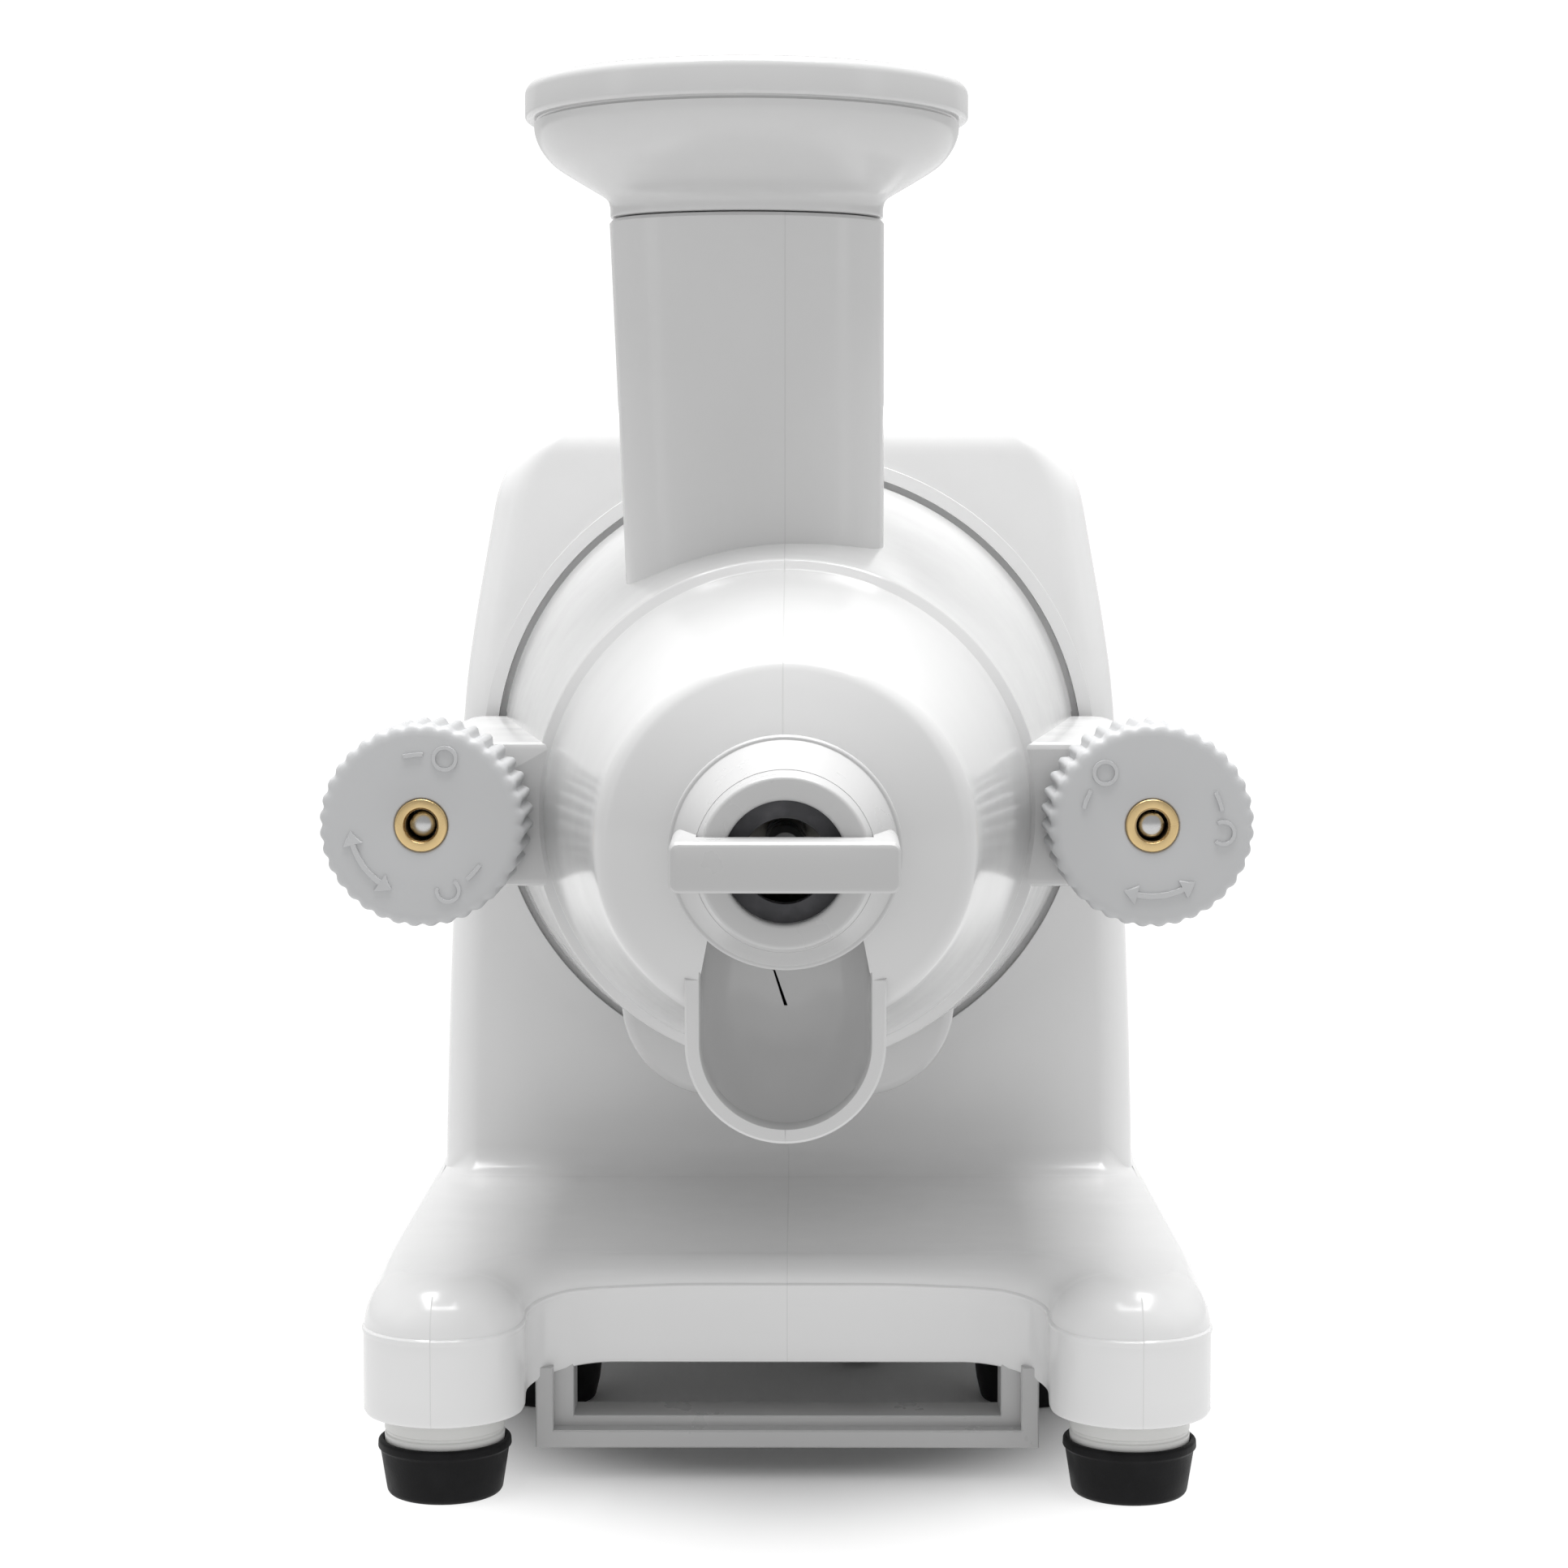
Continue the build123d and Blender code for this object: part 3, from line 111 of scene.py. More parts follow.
def roundedPath(corners, closed=False, steps=6):
    # corners are (a, b, radius); a corner becomes the arc that touches both of its edges
    spots = np.array([corner[:2] for corner in corners], float)
    path = []
    for k, (a, b, radius) in enumerate(corners):
        if radius == 0 or (not closed and k in (0, len(corners) - 1)):
            path.append(spots[k][None])
            continue
        here = spots[k]
        back = spots[k - 1] - here
        ahead = spots[(k + 1) % len(spots)] - here
        back /= np.linalg.norm(back)
        ahead /= np.linalg.norm(ahead)
        half = math.acos(np.clip(back @ ahead, -1, 1)) / 2
        reach = radius / math.tan(half)
        middle = here + (back + ahead) / np.linalg.norm(back + ahead) * radius / math.sin(half)
        first = here + back * reach - middle
        last = here + ahead * reach - middle
        turnAngle = math.pi - 2 * half
        t = np.linspace(0, 1, steps + 1)[:, None]
        path.append(middle + (np.sin((1 - t) * turnAngle) * first + np.sin(t * turnAngle) * last)
                    / math.sin(turnAngle))
    return np.vstack(path)


def densify(path, longest, closed=False):
    # straight stretches longer than the given length get points between their ends
    ends = np.roll(path, -1, axis=0) if closed else np.vstack([path[1:], path[-1:]])
    pieces = [line(a, b, max(1, int(np.ceil(np.linalg.norm(b - a) / longest)))) for a, b in zip(path, ends)]
    return np.vstack(pieces if closed else pieces[:-1] + [path[-1:]])


def outwardNormals(loop):
    # unit normals of closed plan loops, to the right of the way the loop runs
    along = np.roll(loop, -1, axis=0) - np.roll(loop, 1, axis=0)
    normal = np.stack([along[:, 1], -along[:, 0]], -1)
    return normal / np.maximum(np.linalg.norm(normal, axis=1, keepdims=True), 1e-9)


def makePiece(name, points, quads, caps=()):
    # a closed mesh from points in millimetres; its faces are turned to point outwards by its signed volume
    corners = points[quads]
    volume = np.einsum("ij,ij->i", corners[:, 0], np.cross(corners[:, 1], corners[:, 2])).sum()
    volume += np.einsum("ij,ij->i", corners[:, 0], np.cross(corners[:, 2], corners[:, 3])).sum()
    for cap in caps:
        ring = points[list(cap)]
        volume += np.einsum("ij,ij->i", np.broadcast_to(ring[0], ring[1:-1].shape),
                            np.cross(ring[1:-1], ring[2:])).sum()
    faces = [tuple(q) for q in quads.tolist()] + [tuple(c) for c in caps]
    if volume < 0:
        faces = [face[::-1] for face in faces]
    mesh = bpy.data.meshes.new(name)
    mesh.from_pydata((points * millimetre).tolist(), [], faces)
    work = bmesh.new()
    work.from_mesh(mesh)
    bmesh.ops.remove_doubles(work, verts=work.verts, dist=1e-6)
    bmesh.ops.dissolve_degenerate(work, edges=work.edges, dist=1e-7)
    work.to_mesh(mesh)
    work.free()
    piece = bpy.data.objects.new(name, mesh)
    bpy.context.scene.collection.objects.link(piece)
    return piece


def skin(name, rows, ends="capped"):
    # quads between neighbouring rows of closed loops; ends are capped flat, left to meet, or joined round
    rowCount, columnCount = rows.shape[:2]
    index = np.arange(rowCount * columnCount).reshape(rowCount, columnCount)
    upper = np.roll(index, -1, axis=0) if ends == "joined" else index[1:]
    lower = index if ends == "joined" else index[:-1]
    quads = np.stack([lower, np.roll(lower, -1, axis=1), np.roll(upper, -1, axis=1), upper], -1).reshape(-1, 4)
    caps = ()
    if ends == "capped":
        caps = (tuple(index[0][::-1].tolist()), tuple(index[-1].tolist()))
    if ends == "first":
        caps = (tuple(index[0][::-1].tolist()),)
    return makePiece(name, rows.reshape(-1, 3).astype(float), quads, caps)


def spunRows(profile, columns, x=0.0, z=None, radiusAt=None):
    # (y, radius) points carried round the Y line through x, z; radiusAt may change the radius with the angle
    z = axisHeight if z is None else z
    angle = np.linspace(0, 2 * math.pi, columns, endpoint=False)[None, :]
    y = profile[:, 0][:, None] + 0 * angle
    radius = profile[:, 1][:, None] + 0 * angle
    if radiusAt is not None:
        radius = radiusAt(y, radius, angle)
    return np.stack([x + radius * np.cos(angle), y, z + radius * np.sin(angle)], -1)


def standingRows(profile, columns, x, y):
    # (z, radius) points carried round the upright line through x, y
    angle = np.linspace(0, 2 * math.pi, columns, endpoint=False)[None, :]
    radius = profile[:, 1][:, None]
    return np.stack([x + radius * np.cos(angle), y + radius * np.sin(angle), profile[:, 0][:, None] + 0 * angle], -1)


def prismRows(loop, stations):
    # a front view loop of (x, z) points repeated at stations (y, inset); inset moves it inwards along its normals
    normal = outwardNormals(loop)
    area = np.sum(loop[:, 0] * np.roll(loop[:, 1], -1) - np.roll(loop[:, 0], -1) * loop[:, 1])
    normal = normal if area > 0 else -normal
    rows = []
    for y, inset in stations:
        shifted = loop - normal * inset
        rows.append(np.stack([shifted[:, 0], np.full(len(loop), y), shifted[:, 1]], -1))
    return np.array(rows)


def combine(base, tool, operation):
    # joins, cuts or intersects two closed skins and gives the base the result
    change = base.modifiers.new("combine", "BOOLEAN")
    change.operation = operation
    change.object = tool
    for solver in ("MANIFOLD", "EXACT"):
        change.solver = solver
        bpy.context.view_layer.update()
        result = bpy.data.meshes.new_from_object(base.evaluated_get(bpy.context.evaluated_depsgraph_get()))
        if len(result.polygons) > 3:
            break
    base.modifiers.clear()
    base.data = result
    bpy.data.objects.remove(tool)
    return base


def cutIntoTriangles(piece, joinWithin=2e-6):
    # points within a small distance are joined and each face with more than four corners is cut into triangles
    work = bmesh.new()
    work.from_mesh(piece.data)
    bmesh.ops.remove_doubles(work, verts=work.verts, dist=joinWithin)
    bmesh.ops.dissolve_degenerate(work, edges=work.edges, dist=0.5 * joinWithin)
    wide = [face for face in work.faces if len(face.verts) > 4]
    bmesh.ops.triangulate(work, faces=wide, quad_method="BEAUTY", ngon_method="EAR_CLIP")
    bmesh.ops.recalc_face_normals(work, faces=work.faces)
    work.to_mesh(piece.data)
    work.free()


def gather(base, others):
    # several closed skins in one piece
    work = bmesh.new()
    work.from_mesh(base.data)
    for other in others:
        work.from_mesh(other.data)
        bpy.data.objects.remove(other)
    work.to_mesh(base.data)
    work.free()
    return base


def finishPiece(piece, body, replaced, material, angle=34):
    # shading, material, and what the piece rides on and stands for
    piece.data.materials.clear()
    piece.data.materials.append(material)
    piece.data.shade_smooth()
    piece.data.set_sharp_from_angle(angle=math.radians(angle))
    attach(piece, body)
    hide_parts(*replaced)
    print(f"{piece.name}: {len(piece.data.polygons)} faces on {body}")
    return piece


# ---------- materials ----------
def newMaterial(name):
    material = bpy.data.materials.new(name)
    material.use_nodes = True
    tree = material.node_tree
    return material, tree, tree.nodes["Principled BSDF"]


def noiseNode(tree, scale, detail=3.0, stretch=(1, 1, 1)):
    # noise read from object coordinates; stretch squeezes it along an axis
    place = tree.nodes.new("ShaderNodeTexCoord")
    mapping = tree.nodes.new("ShaderNodeMapping")
    mapping.inputs["Scale"].default_value = stretch
    noise = tree.nodes.new("ShaderNodeTexNoise")
    noise.inputs["Scale"].default_value = scale
    noise.inputs["Detail"].default_value = detail
    tree.links.new(place.outputs["Object"], mapping.inputs["Vector"])
    tree.links.new(mapping.outputs["Vector"], noise.inputs["Vector"])
    return noise


def rampBetween(tree, source, low, high, start=0.3, end=0.7):
    ramp = tree.nodes.new("ShaderNodeValToRGB")
    ramp.color_ramp.elements[0].position = start
    ramp.color_ramp.elements[1].position = end
    ramp.color_ramp.elements[0].color = (*low, 1)
    ramp.color_ramp.elements[1].color = (*high, 1)
    tree.links.new(source, ramp.inputs["Fac"])
    return ramp


def rangeBetween(tree, source, low, high):
    spread = tree.nodes.new("ShaderNodeMapRange")
    spread.inputs["From Min"].default_value = 0.3
    spread.inputs["From Max"].default_value = 0.7
    spread.inputs["To Min"].default_value = low
    spread.inputs["To Max"].default_value = high
    tree.links.new(source, spread.inputs["Value"])
    return spread


def bumpFrom(tree, height, strength, distance, normal=None):
    bump = tree.nodes.new("ShaderNodeBump")
    bump.inputs["Strength"].default_value = strength
    bump.inputs["Distance"].default_value = distance
    tree.links.new(height, bump.inputs["Height"])
    if normal is not None:
        tree.links.new(normal, bump.inputs["Normal"])
    return bump


def mathNode(tree, operation, *values):
    # one sum on links or plain numbers
    node = tree.nodes.new("ShaderNodeMath")
    node.operation = operation
    for socket, value in zip(node.inputs, values):
        if isinstance(value, (int, float)):
            socket.default_value = value
        else:
            tree.links.new(value, socket)
    return node.outputs[0]


def partingLine(tree, places, lowest, highest, width=0.00016):
    # 1 on thin upright planes at the given x places, in metres, between two heights, and 0 away from them
    place = tree.nodes.new("ShaderNodeTexCoord")
    split = tree.nodes.new("ShaderNodeSeparateXYZ")
    tree.links.new(place.outputs["Object"], split.inputs["Vector"])
    line = 0.0
    for x in places:
        away = mathNode(tree, "ABSOLUTE", mathNode(tree, "SUBTRACT", split.outputs["X"], x))
        near = tree.nodes.new("ShaderNodeMapRange")
        near.inputs["From Min"].default_value = 0
        near.inputs["From Max"].default_value = width
        near.inputs["To Min"].default_value = 1
        near.inputs["To Max"].default_value = 0
        tree.links.new(away, near.inputs["Value"])
        line = mathNode(tree, "MAXIMUM", line, near.outputs["Result"])
    line = mathNode(tree, "MULTIPLY", line, mathNode(tree, "GREATER_THAN", split.outputs["Z"], lowest))
    return mathNode(tree, "MULTIPLY", line, mathNode(tree, "LESS_THAN", split.outputs["Z"], highest))


def mouldedPlastic(name, colour, roughness=(0.2, 0.3), grain=0.05, ripple=0.12, seams=()):
    # glossy moulding: faint flow marks in the colour, uneven gloss, soft sink ripples and a fine skin grain
    material, tree, shader = newMaterial(name)
    flow = noiseNode(tree, 14, 4, (1, 1, 0.5))
    shade = tuple(c * 0.965 for c in colour)
    ramp = rampBetween(tree, flow.outputs["Fac"], shade, colour)
    gloss = noiseNode(tree, 60, 5)
    spread = rangeBetween(tree, gloss.outputs["Fac"], *roughness)
    tree.links.new(spread.outputs["Result"], shader.inputs["Roughness"])
    sink = noiseNode(tree, 22, 1)
    fine = noiseNode(tree, 1400, 2)
    soft = bumpFrom(tree, sink.outputs["Fac"], ripple, 0.001)
    bump = bumpFrom(tree, fine.outputs["Fac"], grain, 0.0001, soft.outputs["Normal"])
    colourOut = ramp.outputs["Color"]
    for places, lowest, highest in seams:
        seam = partingLine(tree, places, lowest, highest)
        bump = bumpFrom(tree, seam, 0.35, 0.0002, bump.outputs["Normal"])
        darker = tree.nodes.new("ShaderNodeMix")
        darker.data_type = "RGBA"
        darker.blend_type = "MULTIPLY"
        darker.inputs["B"].default_value = (0.9, 0.9, 0.9, 1)
        tree.links.new(seam, darker.inputs["Factor"])
        tree.links.new(colourOut, darker.inputs["A"])
        colourOut = darker.outputs["Result"]
    tree.links.new(colourOut, shader.inputs["Base Color"])
    tree.links.new(bump.outputs["Normal"], shader.inputs["Normal"])
    shader.inputs["IOR"].default_value = 1.52
    return material


def rubber(name, colour):
    # matt rubber: fine pitting and a little dust that lightens it in patches
    material, tree, shader = newMaterial(name)
    dust = noiseNode(tree, 180, 6)
    ramp = rampBetween(tree, dust.outputs["Fac"], colour, tuple(c * 1.7 + 0.004 for c in colour), 0.45, 0.8)
    tree.links.new(ramp.outputs["Color"], shader.inputs["Base Color"])
    spread = rangeBetween(tree, dust.outputs["Fac"], 0.42, 0.62)
    tree.links.new(spread.outputs["Result"], shader.inputs["Roughness"])
    pit = noiseNode(tree, 1800, 3)
    bump = bumpFrom(tree, pit.outputs["Fac"], 0.25, 0.00015)
    tree.links.new(bump.outputs["Normal"], shader.inputs["Normal"])
    shader.inputs["Specular IOR Level"].default_value = 0.15
    return material


def turnedMetal(name, colour, roughness, stretch=(1, 14, 1), wear=0.8):
    # machined metal: fine tool marks squeezed along the part, and patches a little duller
    material, tree, shader = newMaterial(name)
    patches = noiseNode(tree, 120, 4)
    ramp = rampBetween(tree, patches.outputs["Fac"], tuple(c * wear for c in colour), colour)
    tree.links.new(ramp.outputs["Color"], shader.inputs["Base Color"])
    spread = rangeBetween(tree, patches.outputs["Fac"], *roughness)
    tree.links.new(spread.outputs["Result"], shader.inputs["Roughness"])
    marks = noiseNode(tree, 700, 3, stretch)
    bump = bumpFrom(tree, marks.outputs["Fac"], 0.2, 0.00008)
    tree.links.new(bump.outputs["Normal"], shader.inputs["Normal"])
    shader.inputs["Metallic"].default_value = 1.0
    return material


# the mould lines: x places, and the lowest and highest z they run between, all in metres
housingSeams = (((0.0,), 0.0, 1.0), ((-0.0757, 0.0757), 0.0, 0.0455))
drumSeams = (((-0.0005,), 0.168, 1.0),)
# one white plastic, set lighter on the housing and darker on the drum, hopper, trim and knobs: painted light and shade
# that give each part the brightness it shows as lit
whiteHousing = mouldedPlastic("whiteHousingPlastic", (0.77, 0.77, 0.77), (0.16, 0.24), 0.04, 0.1, housingSeams)
whiteDrum = mouldedPlastic("whiteDrumPlasticPaintedShade", (0.60, 0.60, 0.60), (0.13, 0.2), 0.03, 0.1, drumSeams)
whiteHopper = mouldedPlastic("whiteHopperPlasticPaintedShade", (0.56, 0.56, 0.56), (0.14, 0.22), 0.03, 0.08)
whiteTrim = mouldedPlastic("whiteTrimPlasticPaintedShade", (0.48, 0.48, 0.48), (0.26, 0.36), 0.06, 0.1)
knobWhite = mouldedPlastic("knobPlasticPaintedShade", (0.49, 0.494, 0.5), (0.38, 0.48), 0.12, 0.06)
postWhite = mouldedPlastic("footPostPlastic", (0.66, 0.66, 0.645), (0.3, 0.4), 0.06, 0.08)
augerPlastic = mouldedPlastic("augerPlastic", (0.62, 0.6, 0.55), (0.25, 0.35), 0.05, 0.1)
gearPlastic = mouldedPlastic("gearNylon", (0.72, 0.70, 0.62), (0.35, 0.45), 0.08, 0.05)
fanPlastic = mouldedPlastic("fanPlastic", (0.06, 0.08, 0.11), (0.35, 0.5), 0.08, 0.05)
blackPlastic = mouldedPlastic("blackTrimPlastic", (0.02, 0.02, 0.022), (0.28, 0.4), 0.1, 0.05)
boardGreen = mouldedPlastic("circuitBoardLaminate", (0.03, 0.12, 0.05), (0.3, 0.5), 0.2, 0.02)
blackRubber = rubber("blackFootRubber", (0.004, 0.004, 0.0045))
greyRubber = rubber("greySealRubber", (0.075, 0.075, 0.08))
brassMetal = turnedMetal("knobBrass", (0.74, 0.55, 0.28), (0.22, 0.36))
steelMetal = turnedMetal("brightSteel", (0.60, 0.60, 0.60), (0.2, 0.34))
bronzeMetal = turnedMetal("bearingBronze", (0.52, 0.36, 0.2), (0.32, 0.46))
castMetal = turnedMetal("gearboxCasting", (0.46, 0.47, 0.48), (0.45, 0.6), (1, 1, 1))
ironMetal = turnedMetal("motorIron", (0.3, 0.3, 0.31), (0.4, 0.55), (1, 30, 1))
copperMetal = turnedMetal("windingCopper", (0.66, 0.32, 0.18), (0.28, 0.4), (6, 1, 6))
canMetal = turnedMetal("capacitorCan", (0.6, 0.61, 0.63), (0.2, 0.3))
finishes = {
    "white_plastic": whiteTrim, "knob_plastic": knobWhite, "post_plastic": postWhite,
    "black_rubber": blackRubber, "grey_rubber": greyRubber, "brass": brassMetal, "steel": steelMetal,
    "auger_plastic": augerPlastic, "gear_plastic": gearPlastic, "gearbox_metal": castMetal,
    "bronze": bronzeMetal, "iron_core": ironMetal, "copper": copperMetal, "fan_plastic": fanPlastic,
    "black_plastic": blackPlastic, "board": boardGreen, "can_metal": canMetal,
}
for subpart in frame["record"]["subparts"]:
    carried = nodes[subpart["node"]]
    carried.data.materials.clear()
    carried.data.materials.append(finishes[subpart["material_slot"]])
print("materials made")


# ---------- camera ----------
lens = {
    "place": (0.0027, -0.7875, 0.2042), "tiltDegrees": 86.01, "yawDegrees": 0.27, "focal": 76.4, "sensor": 36.0,
}
cameraData = bpy.data.cameras.new("studioCamera")
cameraData.lens = lens["focal"]
cameraData.sensor_width = lens["sensor"]
camera = bpy.data.objects.new("studioCamera", cameraData)
camera.location = lens["place"]
camera.rotation_euler = (math.radians(lens["tiltDegrees"]), 0, math.radians(lens["yawDegrees"]))
bpy.context.scene.collection.objects.link(camera)
bpy.context.scene.camera = camera


# ---------- tower and base ----------
housing = {
    "skirtY": -61.5, "legX": 74.5, "legY": -74.5, "legRadius": 17.5, "legInnerRound": 11.0,
    "rearCorner": 12.0, "baseHalf": 92.0, "deckTop": bodyHigh[2] - 193.0, "skirtBottom": 25.0,
    "legBottom": bodyLow[2], "creaseLow": 37.0, "creaseHigh": 42.6, "creaseBead": 0.3,
    "towerFront": 45.0, "towerEdgeRound": 9.0, "roofEdgeRound": 12.0, "roofCorner": 24.0,
    "halfBase": 91.2, "halfMiddle": 87.0, "halfTop": 63.5, "footHeight": 30.0,
    "deckInsetSkirt": 9.0, "deckInsetLeg": 15.0, "deckInsetSide": 4.6, "footFillet": 7.0,
    "flareStart": 54.0, "flareEnd": 125.0, "frontRoofCentre": 44.4, "frontRoofCorner": 30.0,
    "frontRoofStart": math.radians(9.5),
    "underWall": 3.0, "underCeiling": 36.0,
}


def towerHalfWidth(z):
    # half width of the tower's side, which is an arc through three points, at height z
    v = housing
    p, q, r = (np.array(c, float) for c in (
        (v["halfBase"], v["footHeight"]),
        (v["halfMiddle"], (v["footHeight"] + bodyTop) / 2),
        (v["halfTop"], bodyTop)))
    system = 2 * np.array([q - p, r - p])
    centre = np.linalg.solve(system, np.array([q @ q - p @ p, r @ r - p @ p]))
    radius = np.linalg.norm(p - centre)
    return centre[0] + np.sqrt(radius**2 - (z - centre[1]) ** 2), centre, radius


def frontHalfWidth(z):
    # half width at the tower's front corners below the roof's rounding: a smooth curve up from the foot
    curve = smoothPath([(87.6, 30), (87.2, 58), (86.1, 93), (84.4, 130), (81.8, 167), (79.3, 186), (76.5, 202),
                        frontRoof(housing["frontRoofStart"])], 12)
    return np.interp(z, curve[:, 1], curve[:, 0])


def frontRoof(angle):
    # a point on the arc that rounds the front corners' line into the roof
    radius = housing["frontRoofCorner"]
    return (housing["frontRoofCentre"] + radius * math.cos(angle), bodyTop - radius + radius * math.sin(angle))


def flare(y):
    # 0 at the tower's front corners and 1 further back, where the sides have reached the rear cover's width
    share = np.clip((y - housing["flareStart"]) / (housing["flareEnd"] - housing["flareStart"]), 0, 1)
    return share**2 * (3 - 2 * share)


def roofCornerCentre():
    # centre of the arc that rounds the side into the flat roof, and the angle where it starts
    _, centre, radius = towerHalfWidth(bodyTop)
    z = bodyTop - housing["roofCorner"]
    x = centre[0] + math.sqrt((radius - housing["roofCorner"]) ** 2 - (z - centre[1]) ** 2)
    return np.array([x, z]), math.atan2(z - centre[1], x - centre[0])


def baseHalfPlan():
    # right half of the base's plan: skirt, inner round, leg, side, rear corner, back, with a running place
    v = housing
    roundX = v["legX"] - v["legRadius"] - v["legInnerRound"]
    roundY = v["skirtY"] - v["legInnerRound"]
    side = v["baseHalf"]
    back = bodyBack - v["rearCorner"]
    return [
        line((0, v["skirtY"]), (roundX, v["skirtY"]), 26),
        arc((roundX, roundY), v["legInnerRound"], 90, 0, 12),
        line((roundX + v["legInnerRound"], roundY), (v["legX"] - v["legRadius"], v["legY"]), 4),
        arc((v["legX"], v["legY"]), v["legRadius"], 180, 360, 48),
        line((side, v["legY"]), (side, v["towerFront"]), 36),
        line((side, v["towerFront"]), (side, back), 40),
        arc((side - v["rearCorner"], back), v["rearCorner"], 0, 90, 12),
        line((side - v["rearCorner"], bodyBack), (0, bodyBack), 24),
    ]


def towerHalfPlan(half, backHalf, frontY, corner, counts):
    # right half of the tower's plan at one height, cut into the same stretches as the base's plan;
    # the sides flare from the width at the front corners to the width at the rear cover
    skirtEnd, roundEnd, legEnd = 0.58 * half, 0.68 * half, half - corner
    back = bodyBack
    side = line((half, frontY + corner), (half, back - 12), counts[5])
    side[:, 0] += (backHalf - half) * flare(side[:, 1])
    pieces = [
        line((0, frontY), (skirtEnd, frontY), counts[0]),
        line((skirtEnd, frontY), (roundEnd, frontY), counts[1] + counts[2]),
        line((roundEnd, frontY), (legEnd, frontY), counts[3]),
        arc((half - corner, frontY + corner), corner, -90, 0, counts[4]),
        side,
        line((backHalf, back - 12), (backHalf, back), counts[6] // 2),
        line((backHalf, back), (0.9 * backHalf, back), counts[6] - counts[6] // 2),
        line((0.9 * backHalf, back), (0, back), counts[7]),
    ]
    return np.vstack(pieces)


def mirrored(half):
    # the whole loop from its right half, which stops one step short of the centre line at the back
    right = np.vstack([half, half[-1:] * [0, 1]])
    return np.vstack([right, right[1:-1][::-1] * [-1, 1]])


def mirroredValues(half):
    right = np.append(half, half[-1])
    return np.concatenate([right, right[1:-1][::-1]])


def softened(values, width):
    # values round a closed loop, averaged over a window to make their steps smooth
    window = np.hanning(2 * width + 3)[1:-1]
    window /= window.sum()
    padded = np.concatenate([values[-width:], values, values[:width]])
    return np.convolve(padded, window, "valid")


